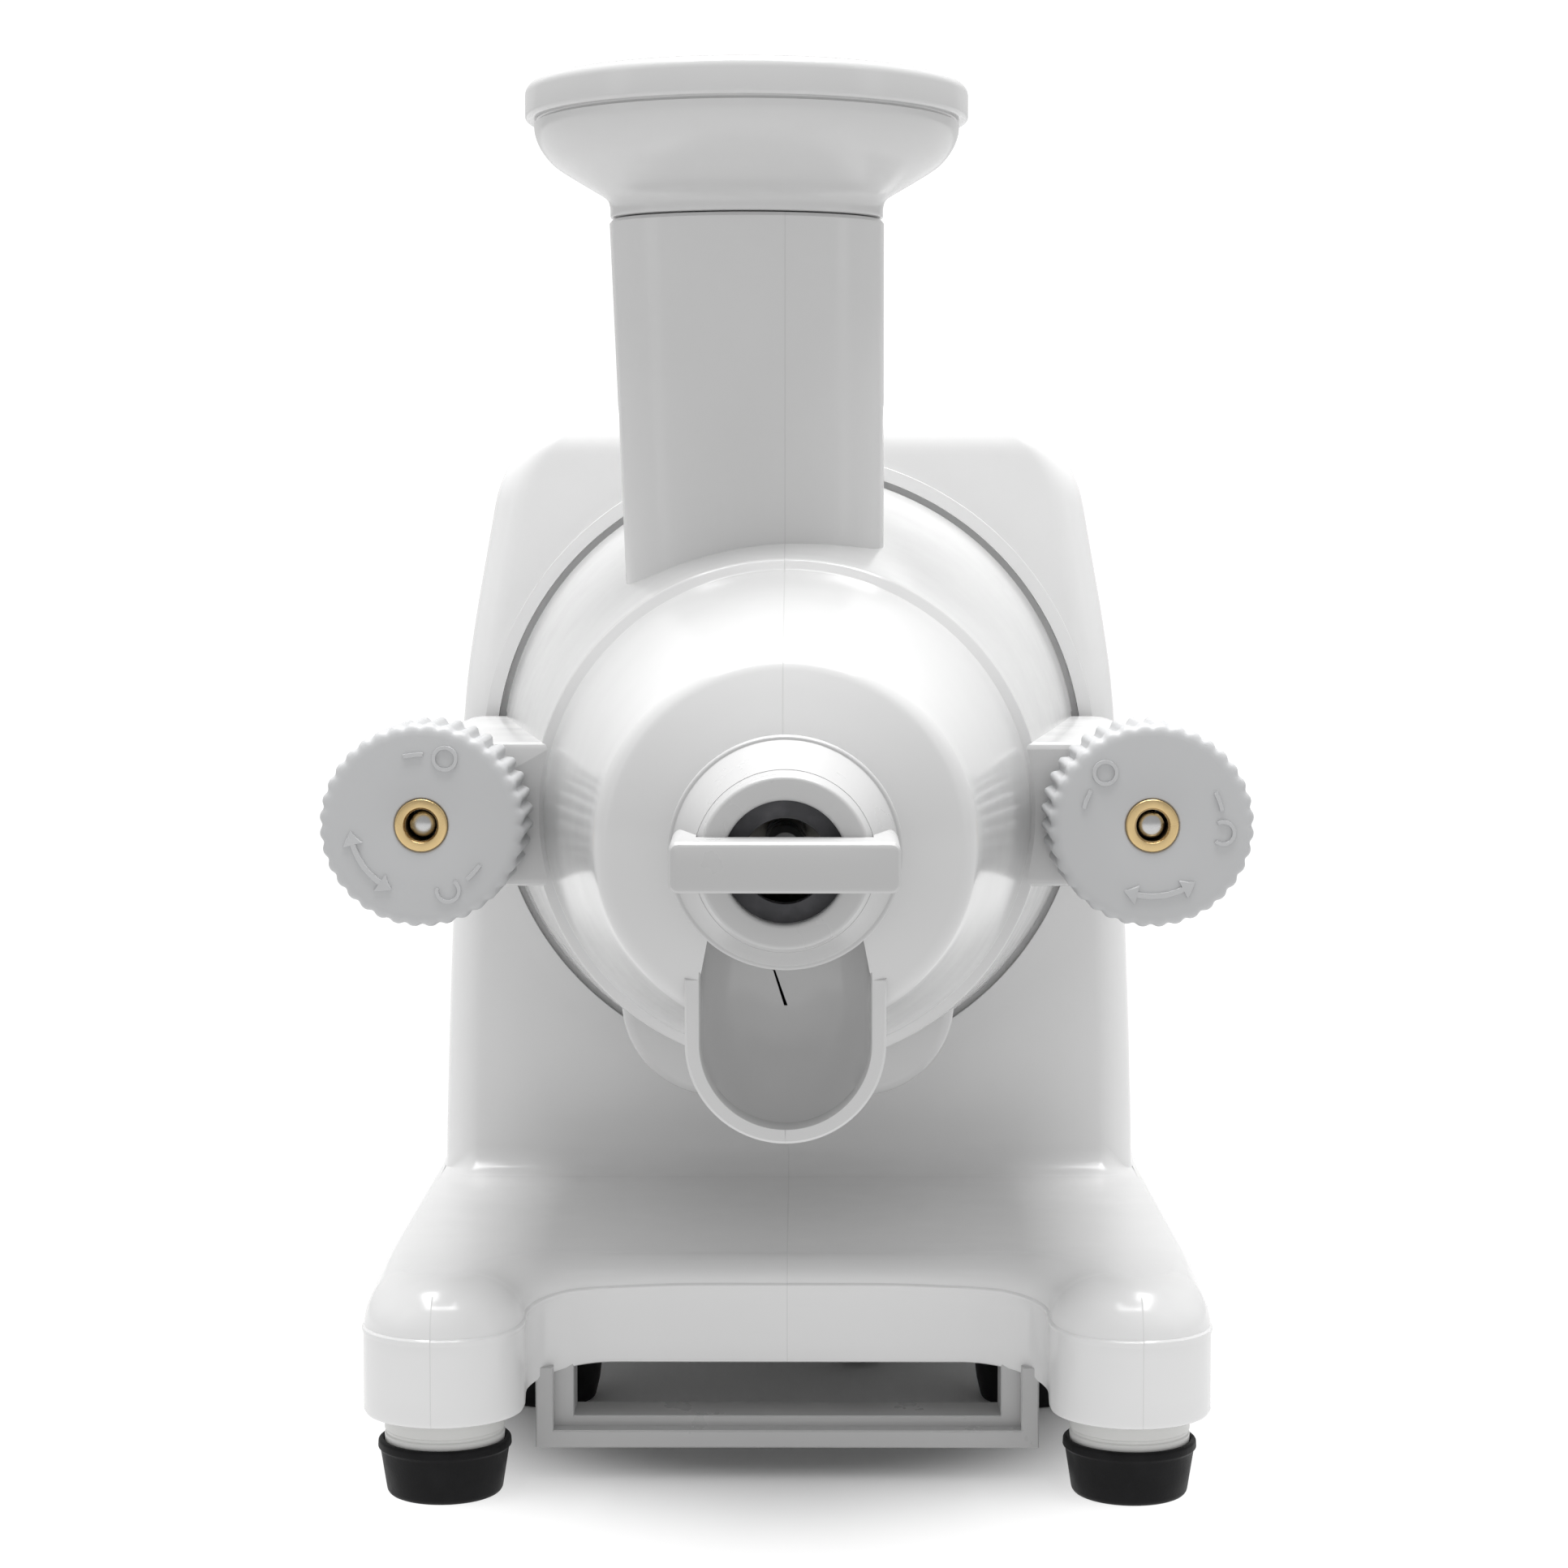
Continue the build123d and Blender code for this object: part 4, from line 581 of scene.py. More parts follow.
def makeHousing():
    # rows climb from the ceiling under the base, round its lower edge, up past the crease, over the deck,
    # through the hollow fillet at the tower's foot, up the walls and over the roof to its centre line
    v = housing
    stretches = baseHalfPlan()
    counts = [len(s) for s in stretches]
    plan = mirrored(np.vstack(stretches))
    normal = outwardNormals(plan)
    if (normal * plan).sum() < 0:
        normal = -normal

    def along(*amounts):
        # one amount for each of the eight stretches of the plan
        return mirroredValues(np.repeat(np.array(amounts, float), counts))

    sideInset = v["deckInsetSide"]
    inset = softened(along(v["deckInsetSkirt"], 12, 14, v["deckInsetLeg"], sideInset, sideInset, 0.5, 0.3), 12)
    # beside the tower the deck is a narrow ledge that follows the flare of the tower's sides
    beside = plan[:, 1] > v["towerFront"]
    inset = np.where(beside, 0.5 + (inset - 0.5) * (1 - flare(plan[:, 1])), inset)
    low, high = v["creaseLow"], v["creaseHigh"]
    # the crease drops in a long curve from the skirt, round the inner corner and onto the leg
    ends = np.cumsum(counts)
    halfCrease = np.interp(np.arange(ends[-1]), [0, ends[0] - 12, ends[0], ends[1], ends[2], ends[2] + 10, ends[-1]],
                           [high, high, high - 1.0, low + 1.5, low + 0.9, low, low])
    crease = softened(mirroredValues(halfCrease), 6)
    # so does its lower edge
    halfBottom = np.interp(np.arange(ends[-1]), [0, ends[0] - 2, ends[1], ends[2], ends[-1]],
                           [v["skirtBottom"], v["skirtBottom"], v["legBottom"] + 2.2, v["legBottom"], v["legBottom"]])
    bottom = softened(mirroredValues(halfBottom), 3)
    tower = mirrored(towerHalfPlan(v["halfBase"], v["halfBase"], v["towerFront"], v["towerEdgeRound"], counts))
    facing = outwardNormals(tower)
    facing = facing if (facing * tower).sum() > 0 else -facing
    fillet = 0.2 + v["footFillet"] * np.clip(-facing[:, 1], 0, 1) ** 5
    deck = v["deckTop"]

    def ring(step, height):
        spread = plan - normal * np.reshape(step, (-1, 1)) if np.ndim(step) else plan - normal * step
        return np.column_stack([spread, np.broadcast_to(height, len(plan))])

    rows = [ring(v["underWall"], v["underCeiling"]), ring(v["underWall"], bottom + 1.2)]
    for step, rise in ((2.6, 0.4), (1.8, 0), (1.0, 0), (0.4, 0.3), (0, 1.1)):
        rows.append(ring(step, bottom + rise))
    for share in (0.3, 0.6, 0.85):
        rows.append(ring(0, bottom + 1.1 + share * (crease - bottom - 2.6)))
    bead = v["creaseBead"]
    for step, rise in ((0, -1.5), (-0.6 * bead, -0.9), (-bead, -0.5), (-bead, -0.1), (-0.3 * bead, 0.15),
                       (0.25, 0.35)):
        rows.append(ring(step, crease + rise))
    for angle in np.linspace(0, math.pi / 2, 15)[1:]:
        reach = 0.25 + np.maximum(inset - 0.25, 0) * (1 - math.cos(angle))
        rows.append(ring(reach, crease + 0.35 + (deck - crease - 0.35) * math.sin(angle)))
    deckEdge = rows[-1]

    def towerRing(half, backHalf, frontY, corner, height, spread=0, backHeight=None):
        # the spread, an amount at each point, moves the ring out from the tower's wall; a ring may climb
        # or drop along the sides to its height at the back
        right = towerHalfPlan(half, backHalf, frontY, corner, counts)
        loop = mirrored(right)
        out = outwardNormals(loop)
        out = out if (out * loop).sum() > 0 else -out
        loop = loop + out * np.reshape(np.broadcast_to(spread, len(loop)), (-1, 1))
        loop[:, 1] = np.minimum(loop[:, 1], bodyBack)
        if backHeight is not None:
            height = height + (backHeight - height) * flare(loop[:, 1])
        return np.column_stack([loop, np.broadcast_to(height, len(loop))])

    footHalf, footBack = float(frontHalfWidth(deck)), float(towerHalfWidth(deck)[0])
    corner = v["towerEdgeRound"]
    footRing = towerRing(footHalf, footBack, v["towerFront"], corner, deck, fillet)
    for share in np.linspace(0, 1, 9)[1:-1]:
        rows.append(deckEdge * (1 - share) + footRing * share)
    for angle in np.linspace(0, math.pi / 2, 9):
        height = deck + fillet * (1 - math.cos(angle))
        rows.append(towerRing(footHalf, footBack, v["towerFront"], corner, height, fillet * (1 - math.sin(angle))))
    cornerCentre, cornerStart = roofCornerCentre()
    wallTop = cornerCentre[1] + v["roofCorner"] * math.sin(cornerStart)
    frontRound = v["roofEdgeRound"]

    def frontAt(z):
        # the front face leans back along an arc where it meets the roof
        over = np.clip((z - (bodyTop - frontRound)) / frontRound, 0, 1)
        return v["towerFront"] + frontRound * (1 - math.sqrt(1 - over**2))

    lowest = deck + v["footFillet"]
    start = v["frontRoofStart"]
    for share in np.linspace(0, 1, 34)[1:]:
        z = lowest + share * (frontRoof(start)[1] - lowest)
        backZ = lowest + share * (wallTop - lowest)
        rows.append(towerRing(float(frontHalfWidth(z)), float(towerHalfWidth(backZ)[0]), frontAt(z), corner, z, 0,
                              backZ))
    for share in np.linspace(0, 1, 20)[1:]:
        half, z = frontRoof(start + share * (math.pi / 2 - start))
        angle = cornerStart + share * (math.pi / 2 - cornerStart)
        rows.append(towerRing(half, cornerCentre[0] + v["roofCorner"] * math.cos(angle), frontAt(z), corner, z, 0,
                              cornerCentre[1] + v["roofCorner"] * math.sin(angle)))
    for share in (0.75, 0.5, 0.25, 0.0):
        half = v["frontRoofCentre"] * share
        rows.append(towerRing(half, cornerCentre[0] * share, frontAt(bodyTop), min(corner, 0.5 * half), bodyTop))
    return skin("whiteTowerAndBase", np.array(rows), "first")


def pocketLoop(radius, lift, count=180):
    # two half circles, the upper one lifted, which is the drum pocket's outline
    angle = np.linspace(0, 2 * math.pi, count, endpoint=False)
    rise = np.where(np.sin(angle) > 0, lift, 0)
    return np.stack([radius * np.cos(angle), axisHeight + rise + radius * np.sin(angle)], -1)


pocket = {
    "radius": 73.4, "lift": 4.4, "floorY": 60.0, "floorWall": 3.0, "beadFront": 42.2, "beadWidth": 3.2,
    "beadWidthBelow": 4.2, "shaftHole": 16.0, "bossInner": 68.0, "bossOuter": 83.4, "bossHalfHeight": 15.5,
    "bossCorner": 11.0, "bossFront": 38.3, "wall": 3.2,
}


def lipBead():
    # a rounded bead carried round the pocket's edge, wider below than above
    p = pocket
    loop = pocketLoop(p["radius"], p["lift"], 240)
    normal = outwardNormals(loop)
    normal = normal if (normal * (loop - [0, axisHeight])).sum() > 0 else -normal
    low = (loop[:, 1] < axisHeight)[:, None] * np.abs((loop[:, 1:] - axisHeight) / p["radius"]) ** 2
    width = p["beadWidth"] + (p["beadWidthBelow"] - p["beadWidth"]) * low
    front = p["beadFront"]
    section = roundedPath([(-0.15, 47, 0), (-0.15, front, 1.1), (1, front, 1.6), (1, 45.2, 0.5), (1.25, 47, 0)],
                          steps=6)
    rows = []
    for out, y in section:
        ring = loop + normal * np.maximum(out * width, -0.15)
        rows.append(np.column_stack([ring[:, 0], np.full(len(ring), y), ring[:, 1]]))
    return skin("lipBead", np.array(rows), "joined")


def bossLoop(side):
    p = pocket
    inner, outer, h = p["bossInner"], p["bossOuter"], p["bossHalfHeight"]
    corners = [(inner, -h, 0), (outer, -h, p["bossCorner"]), (outer, h, p["bossCorner"]), (inner, h, 0)]
    return roundedPath(corners, True, 10) * [side, 1] + [0, axisHeight]


whiteTower = makeHousing()
combine(whiteTower, skin("pocketCut", prismRows(pocketLoop(pocket["radius"], pocket["lift"], 240),
                                               [(20, 0), (pocket["floorY"], 0)])), "DIFFERENCE")


def towerHollowLoop():
    # front view of the tower's inside: the side arcs and roof drawn in by the wall
    z = np.linspace(56, roofCornerCentre()[0][1], 24)
    half = np.minimum(towerHalfWidth(z)[0], frontHalfWidth(z)) - pocket["wall"]  # inside both profiles
    centre, start = roofCornerCentre()
    angle = np.linspace(start, math.pi / 2, 12)
    radius = housing["roofCorner"] - pocket["wall"]
    right = np.vstack([np.column_stack([half, z])[:-1],
                       np.column_stack([centre[0] + radius * np.cos(angle), centre[1] + radius * np.sin(angle)])])
    return np.vstack([right, right[::-1] * [-1, 1]])


combine(whiteTower, skin("hollowCut", prismRows(towerHollowLoop(),
                                               [(pocket["floorY"] + pocket["floorWall"], 0), (bodyBack + 5, 0)])),
        "DIFFERENCE")
holeLoop = roundedPath([(-1, -1, 1), (1, -1, 1), (1, 1, 1), (-1, 1, 1)], True, 16)
combine(whiteTower, skin("shaftHoleCut", prismRows(holeLoop * pocket["shaftHole"] + [0, axisHeight],
                                                  [(pocket["floorY"] - 4, 0), (pocket["floorY"] + 9, 0)])),
        "DIFFERENCE")
for side in (-1, 1):
    boss = skin("studBoss", prismRows(bossLoop(side), [(pocket["bossFront"], 0.8), (pocket["bossFront"] + 0.8, 0),
                                                      (pocket["floorY"] + 1, 0)]))
    combine(whiteTower, boss, "UNION")
gather(whiteTower, [lipBead()])
finishPiece(whiteTower, "housing", ["body_shell"], whiteHousing)
print("tower and base made")


# ---------- drum ----------
drum = {
    "flangeBack": 70.2, "mouth": 71.6, "mouthY": 42.0, "ledgeY": -75.0, "ledgeRadius": 54.8,
    "shoulderRadius": 52.0, "faceY": -152.0, "faceRadius": 36.6, "faceRound": 6.0, "crownY": -158.5,
    "nozzle": 16.5, "bore": 12.0, "lift": 4.4, "columns": 288, "wall": 3.0,
    "tubeX": -9.15, "tubeY": -37.5, "tubeHalf": 30.65, "tubeDepth": 20.5, "tubeFootX": -6.8,
    "tubeFootHalf": 28.4, "tubeFootZ": 172.0, "lugFront": -76.0, "lugBack": 38.0, "lugReach": 86.6,
    "lugHalf": 15.5, "lugCorner": 11.0, "studX": 75.3, "studHole": 3.4,
}
drumTurn = roundedPath([
    (drumBack, 0, 0), (drumBack, drum["flangeBack"], 0.8), (drum["mouthY"], drum["mouth"], 2),
    (drum["ledgeY"], drum["ledgeRadius"], 1.2), (drum["ledgeY"] - 1.6, drum["shoulderRadius"] + 0.3, 0.8),
    (drum["faceY"], drum["faceRadius"], drum["faceRound"]), (drum["crownY"], 21, 5),
    (drum["crownY"] - 1.5, drum["nozzle"], 1.0), (nozzleFront, drum["nozzle"], 0.6), (nozzleFront, 0, 0)], steps=7)
drumTurn = densify(drumTurn, 6)


def tallMouth(y, radius, angle):
    # above the axis the drum is drawn up towards its mouth, to fill the tall pocket
    lift = drum["lift"] * np.clip((y - drum["ledgeY"]) / (drum["mouthY"] - drum["ledgeY"]), 0, 1)
    lift = np.minimum(lift, 0.5 * radius)
    s, c = np.sin(angle), np.cos(angle)
    upper = lift * s + np.sqrt(np.maximum(radius**2 - (lift * c) ** 2, 0))
    upright = radius / np.maximum(np.abs(c), 1e-6)
    raised = np.where(upright * s < lift, np.minimum(upright, upper + lift), upper)
    return np.where(s > 0, raised, radius)


def ovalRows(stations, columns=96):
    # stations are (z, x, half width, half depth) of the feed tube's oval
    angle = np.linspace(0, 2 * math.pi, columns, endpoint=False)
    return np.array([np.stack([x + a * np.cos(angle), drum["tubeY"] + b * np.sin(angle), z + 0 * angle], -1)
                     for z, x, a, b in stations])


def tubeStations(heights, inset):
    # the tube widens a little towards its top
    d = drum
    stations = []
    for z in heights:
        t = (z - d["tubeFootZ"]) / (tubeTop - d["tubeFootZ"])
        stations.append((z, d["tubeFootX"] + t * (d["tubeX"] - d["tubeFootX"]),
                         d["tubeFootHalf"] + t * (d["tubeHalf"] - d["tubeFootHalf"]) - inset, d["tubeDepth"] - inset))
    return stations


chute = {
    "half": 19.35, "wall": 2.85, "bottom": 90.7, "stepZ": 122.8, "upperHalf": 17.4, "top": 134.0,
    "frontY": -154.5, "straight": 7.0, "slopeDegrees": 40.0, "reach": 37.0, "innerTopHalf": 14.4,
}


def uLoop(half, bottom, top, topHalf=None, below=0.0):
    # a U closed across its top; its bottom is a half circle and its sides turn in a little below the step
    topHalf = half if topHalf is None else topHalf
    turn = chute["stepZ"] - below
    corners = [(-topHalf, top, 0), (-half, turn, 0), (-half, bottom, half - 0.01),
               (half, bottom, half - 0.01), (half, turn, 0), (topHalf, top, 0)]
    if top <= turn:
        corners = corners[:1] + corners[2:4] + corners[5:]
    return roundedPath(corners, True, 24)


def slopedRows(loop, stations):
    # the loop carried straight back, then back and up the slope; stations are (way back, inset)
    rows = prismRows(loop, [(chute["frontY"] + way, inset) for way, inset in stations])
    climbing = np.array([max(way - chute["straight"], 0) for way, _ in stations])
    rise = climbing * math.tan(math.radians(chute["slopeDegrees"]))
    rows[:, :, 2] += rise[:, None]
    return rows


whiteDrumShell = skin("whiteDrum", spunRows(drumTurn, drum["columns"], radiusAt=tallMouth), "open")
tube = skin("feedTube", ovalRows(tubeStations([166, 200, 240, tubeTop - 0.8], 0) + tubeStations([tubeTop], 0.7)))
combine(whiteDrumShell, tube, "UNION")
lugLoop = roundedPath([(-drum["lugReach"], -drum["lugHalf"], drum["lugCorner"]),
                       (drum["lugReach"], -drum["lugHalf"], drum["lugCorner"]),
                       (drum["lugReach"], drum["lugHalf"], drum["lugCorner"]),
                       (-drum["lugReach"], drum["lugHalf"], drum["lugCorner"])], True, 10) + [0, axisHeight]
combine(whiteDrumShell, skin("lugs", prismRows(lugLoop, [
    (drum["lugFront"], 1.4), (drum["lugFront"] + 0.4, 0.5), (drum["lugFront"] + 1.4, 0), (drum["lugBack"], 0)])),
    "UNION")
spout = {"half": 38.4, "bottom": axisHeight - 69.4, "corner": 22.0, "front": -26.0, "back": 24.0, "edge": 2.5}
spoutLoop = roundedPath([(-spout["half"], axisHeight - 12, 0), (-spout["half"], spout["bottom"], spout["corner"]),
                         (spout["half"], spout["bottom"], spout["corner"]), (spout["half"], axisHeight - 12, 0)],
                        True, 16)
edge = spout["edge"]
combine(whiteDrumShell, skin("juiceSpout", prismRows(spoutLoop, [
    (spout["front"] + edge * (1 - math.sin(a)), edge * (1 - math.cos(a))) for a in np.linspace(math.pi / 2, 0, 7)
] + [(spout["back"], 0)])), "UNION")
outerU = uLoop(chute["half"], chute["bottom"], chute["stepZ"])
combine(whiteDrumShell, skin("pulpChute", slopedRows(outerU, [
    (0, 6), (0, 4), (0, 0.5), (0.5, 0), (chute["straight"], 0), (chute["reach"], 0)])), "UNION")
upperU = uLoop(chute["upperHalf"], chute["bottom"] + 14, chute["top"])
combine(whiteDrumShell, skin("pulpChuteTop", prismRows(upperU, [
    (chute["frontY"] + 0.2, 6), (chute["frontY"] + 0.2, 0.5), (chute["frontY"] + 0.7, 0), (chute["frontY"] + 21, 0)
])), "UNION")
# now the hollows: juice chamber, feed tube, chute and its mouth, juice hole and stud holes
gasketHole = (boxOf("drum_gasket")[1][0] - 3.2)
cavity = densify(np.array([
    (drumBack + 1, 0), (drumBack + 1, gasketHole), (drumBack - 24, gasketHole), (drumBack - 28, 62.5),
    (drum["ledgeY"] - 2, 49.0), (-129, 37.0), (-129, 31.0), (-132, 31.0), (-132, 18.0), (-137, drum["bore"]),
    (nozzleFront - 1, drum["bore"]), (nozzleFront - 1, 0)], float), 8)
combine(whiteDrumShell, skin("juiceChamberCut", spunRows(cavity, 144), "open"), "DIFFERENCE")
combine(whiteDrumShell, skin("feedTubeCut", ovalRows(tubeStations([166, 200, 240, tubeTop + 1], drum["wall"]))),
        "DIFFERENCE")
innerU = uLoop(chute["half"] - chute["wall"], chute["bottom"] + chute["wall"], chute["top"] - 1,
               chute["innerTopHalf"], 0.4)
pocketWay = [(-0.6, -0.4), (0.3, 0), (chute["straight"], 0.1), (11, 0.5), (14, 1.6),
             (16.6, 3.4), (18.2, 6), (19, 8.6), (19.3, 11)]
combine(whiteDrumShell, skin("chuteCut", slopedRows(innerU, pocketWay)), "DIFFERENCE")
combine(whiteDrumShell, skin("chuteMouthCut", prismRows(innerU, [
    (-170, 0.06), (chute["frontY"] + 3, 0.06)])), "DIFFERENCE")
combine(whiteDrumShell, skin("juiceHoleCut", standingRows(
    np.array([(spout["bottom"] - 1, 8.0), (axisHeight - 50, 8.0)]), 48, 0, -2)), "DIFFERENCE")
for side in (-1, 1):
    studCut = np.array([(drum["lugFront"] - 1, drum["studHole"]), (drum["lugBack"] + 30, drum["studHole"])])
    combine(whiteDrumShell, skin("studCut", spunRows(studCut, 32, side * drum["studX"])), "DIFFERENCE")
    flatLoop = np.array([(67.0, -16.5), (100.0, -16.5), (100.0, 16.5), (67.0, 16.5)]) * [side, 1] + [0, axisHeight]
    combine(whiteDrumShell, skin("bossClearance", prismRows(flatLoop, [(drum["lugBack"], 0), (drumBack + 1, 0)])),
            "DIFFERENCE")
cutIntoTriangles(whiteDrumShell)
finishPiece(whiteDrumShell, "drum", ["drum_shell"], whiteDrum, 28)
print("drum made")


# ---------- hopper ----------
bowl = {
    "x": drum["tubeX"], "y": drum["tubeY"], "seat": tubeTop + 0.35, "neckHalf": 30.3, "neckDepth": 20.3,
    "columns": 192, "rimOuter": 49.25, "rimInner": 45.6, "rimTop": hopperHigh[2], "spigotBottom": hopperLow[2],
}


def makeHopper():
    # each row is an oval (z, half width, half depth) that turns from the tube's oval to the bowl's circle;
    # the rows run up the outside, over the rim, down the inside and round the spigot's end
    b = bowl
    seat, top = b["seat"], b["rimTop"]
    outside = smoothPath([
        (seat + 0.5, b["neckHalf"] + 0.1, b["neckDepth"] + 0.1), (seat + 2.6, 30.5, 20.9), (seat + 4.4, 31.3, 23.4),
        (seat + 6.4, 34.4, 28.6), (seat + 8.9, 38.6, 34.2), (seat + 11.8, 43.0, 40.2), (seat + 15.0, 45.7, 44.4),
        (seat + 18.0, 47.0, 46.6), (seat + 20.4, 47.3, 47.2)], 5)
    seam = np.array([(seat + 20.7, 46.9, 46.9), (seat + 20.9, 46.7, 46.7), (seat + 21.2, 46.9, 46.9)])
    rimPath = roundedPath([(seat + 21.2, 47.1, 0), (seat + 21.2, b["rimOuter"], 1.0), (top, b["rimOuter"], 2.6),
                           (top, b["rimInner"], 1.6), (seat + 24, b["rimInner"] - 0.6, 0)], steps=7)
    rim = np.column_stack([rimPath, rimPath[:, 1]])
    inside = smoothPath([
        (seat + 24, 45.0, 45.0), (seat + 20, 43.2, 43.0), (seat + 15.5, 40.6, 39.6), (seat + 11.8, 37.0, 34.4),
        (seat + 8.6, 33.0, 28.0), (seat + 6.0, 29.0, 21.8), (seat + 3.4, 26.3, 17.6), (seat, 25.4, 15.9)], 5)
    spigot = np.array([(b["spigotBottom"] + 1, 25.2, 15.7), (b["spigotBottom"] + 0.3, 25.6, 16.1),
                       (b["spigotBottom"], 26.2, 16.4), (b["spigotBottom"] + 0.3, 26.7, 16.8),
                       (b["spigotBottom"] + 1.2, 26.9, 16.95), (seat - 0.2, 26.95, 17.0), (seat, 27.2, 17.2),
                       (seat, b["neckHalf"] - 0.4, b["neckDepth"] - 0.4), (seat + 0.15, b["neckHalf"], b["neckDepth"])])
    path = np.vstack([outside, seam, rim, inside, spigot])
    angle = np.linspace(0, 2 * math.pi, b["columns"], endpoint=False)[None, :]
    rows = np.stack([b["x"] + path[:, 1:2] * np.cos(angle), b["y"] + path[:, 2:3] * np.sin(angle),
                     path[:, 0:1] + 0 * angle], -1)
    return skin("hopperBowl", rows, "joined")


finishPiece(makeHopper(), "hopper", ["hopper"], whiteHopper, 40)
print("hopper made")


# ---------- nozzle cap with its bar ----------
nozzleCap = {
    "flange": 22.1, "flangeFront": -168.0, "cone": 21.2, "face": 15.7, "faceY": -187.5, "hole": 11.3,
    "web": 3.5, "barHalf": 20.8, "barHeight": 9.2, "barRound": 1.8, "barBack": -171.5,
}


def makeNozzleCap():
    c = nozzleCap
    back = capHigh[1]
    inside = boxOf("cap_seal")[1][0] + 0.3  # the seal's radius plus a gap
    outline = densify(roundedPath([
        (back, inside, 0), (back, c["flange"], 0.6), (c["flangeFront"], c["flange"], 0.7),
        (c["flangeFront"], c["cone"], 0.2), (c["faceY"], c["face"], 0.9), (c["faceY"], c["hole"], 0.8),
        (c["faceY"] + c["web"], c["hole"], 0.3), (c["faceY"] + c["web"], inside, 0)], steps=6), 4)
    body = skin("nozzleCap", spunRows(outline, 160), "joined")
    half, tall = c["barHalf"], c["barHeight"] / 2
    loop = roundedPath([(-half, -tall, c["barRound"]), (half, -tall, c["barRound"]),
                        (half, tall, c["barRound"]), (-half, tall, c["barRound"])], True, 8)
    loop = densify(loop, 3, True) + [0, axisHeight]
    front = capLow[1]
    stations = [(front, 1.0), (front + 0.25, 0.45), (front + 0.9, 0.0), (c["barBack"], -0.25)]
    bar = skin("capBar", prismRows(loop, stations))
    holeCut = np.array([(c["faceY"] + 0.2, inside), (c["barBack"] + 10, inside)])
    combine(bar, skin("barCut", spunRows(holeCut, 96)), "DIFFERENCE")
    combine(body, bar, "UNION")
    return body


finishPiece(makeNozzleCap(), "cap", ["nozzle_cap"], whiteTrim, 28)
print("nozzle cap made")


# ---------- thumb knobs ----------
knob = {
    "radius": 21.1, "teeth": 36, "insert": 5.5, "bore": 4.4, "frontDepth": 0.55, "deepDepth": 1.25,
    "columnsPerTooth": 10, "markHeight": 0.5, "markRadius": 14.6, "markWidth": 1.2,
}


def knobRows(centreX, front, back):
    # a fluted drum: the radius dips in round-bottomed flutes, shallow at the front rim and deeper behind it
    k = knob
    columns = k["teeth"] * k["columnsPerTooth"]
    angle = np.linspace(0, 2 * math.pi, columns, endpoint=False)[None, :]
    ripple = np.abs(np.cos(k["teeth"] * angle / 2)) ** 3  # 1 in the middle of a flute
    path = [  # y, radius, flute depth
        (front + 14, k["insert"] + 0.02, 0), (front + 0.5, k["insert"] + 0.02, 0), (front + 0.15, k["insert"] + 0.3, 0),
        (front, k["insert"] + 0.8, 0), (front, 12, 0), (front, 18.4, 0), (front + 0.1, 19.4, 0.1),
        (front + 0.45, k["radius"] - 0.75, 0.3), (front + 0.9, k["radius"] - 0.3, 0.45),
        (front + 1.6, k["radius"], k["frontDepth"]), (front + 4.6, k["radius"], k["frontDepth"]),
        (front + 5.3, k["radius"] - 0.15, 0.8), (front + 6.2, k["radius"], k["deepDepth"]),
        (back - 1.2, k["radius"], k["deepDepth"]), (back - 0.4, k["radius"] - 0.3, k["deepDepth"]),
        (back, k["radius"] - 1.6, 0), (back, 12, 0), (back, k["bore"] + 0.5, 0), (back - 0.5, k["bore"], 0),
        (front + 14.2, k["bore"], 0), (front + 14, k["insert"] - 0.2, 0)]
    path = np.array(path)
    radius = path[:, 1:2] - path[:, 2:3] * ripple
    return np.stack([centreX + radius * np.cos(angle), path[:, 0:1] + 0 * angle,
                     axisHeight + radius * np.sin(angle)], -1)


def raisedStrip(centre, line2d, width, front):
    # a flat raised line: the path's points widened to both sides, standing proud of the knob's face
    along = np.gradient(line2d, axis=0)
    normal = np.stack([-along[:, 1], along[:, 0]], -1)
    normal /= np.linalg.norm(normal, axis=1, keepdims=True)
    wide = np.reshape(np.broadcast_to(width, len(line2d)), (-1, 1)) / 2
    left, right = line2d + normal * wide, line2d - normal * wide
    inner = 0.15 * wide
    loops = [(front + 0.1, 0), (front - 0.7 * knob["markHeight"], 0), (front - knob["markHeight"], 1)]
    rows = []
    for y, drawnIn in loops:
        edge = np.vstack([left - normal * inner * drawnIn, (right + normal * inner * drawnIn)[::-1]])
        rows.append(np.column_stack([centre[0] + edge[:, 0], np.full(len(edge), y), centre[1] + edge[:, 1]]))
    return skin("mark", np.array(rows))


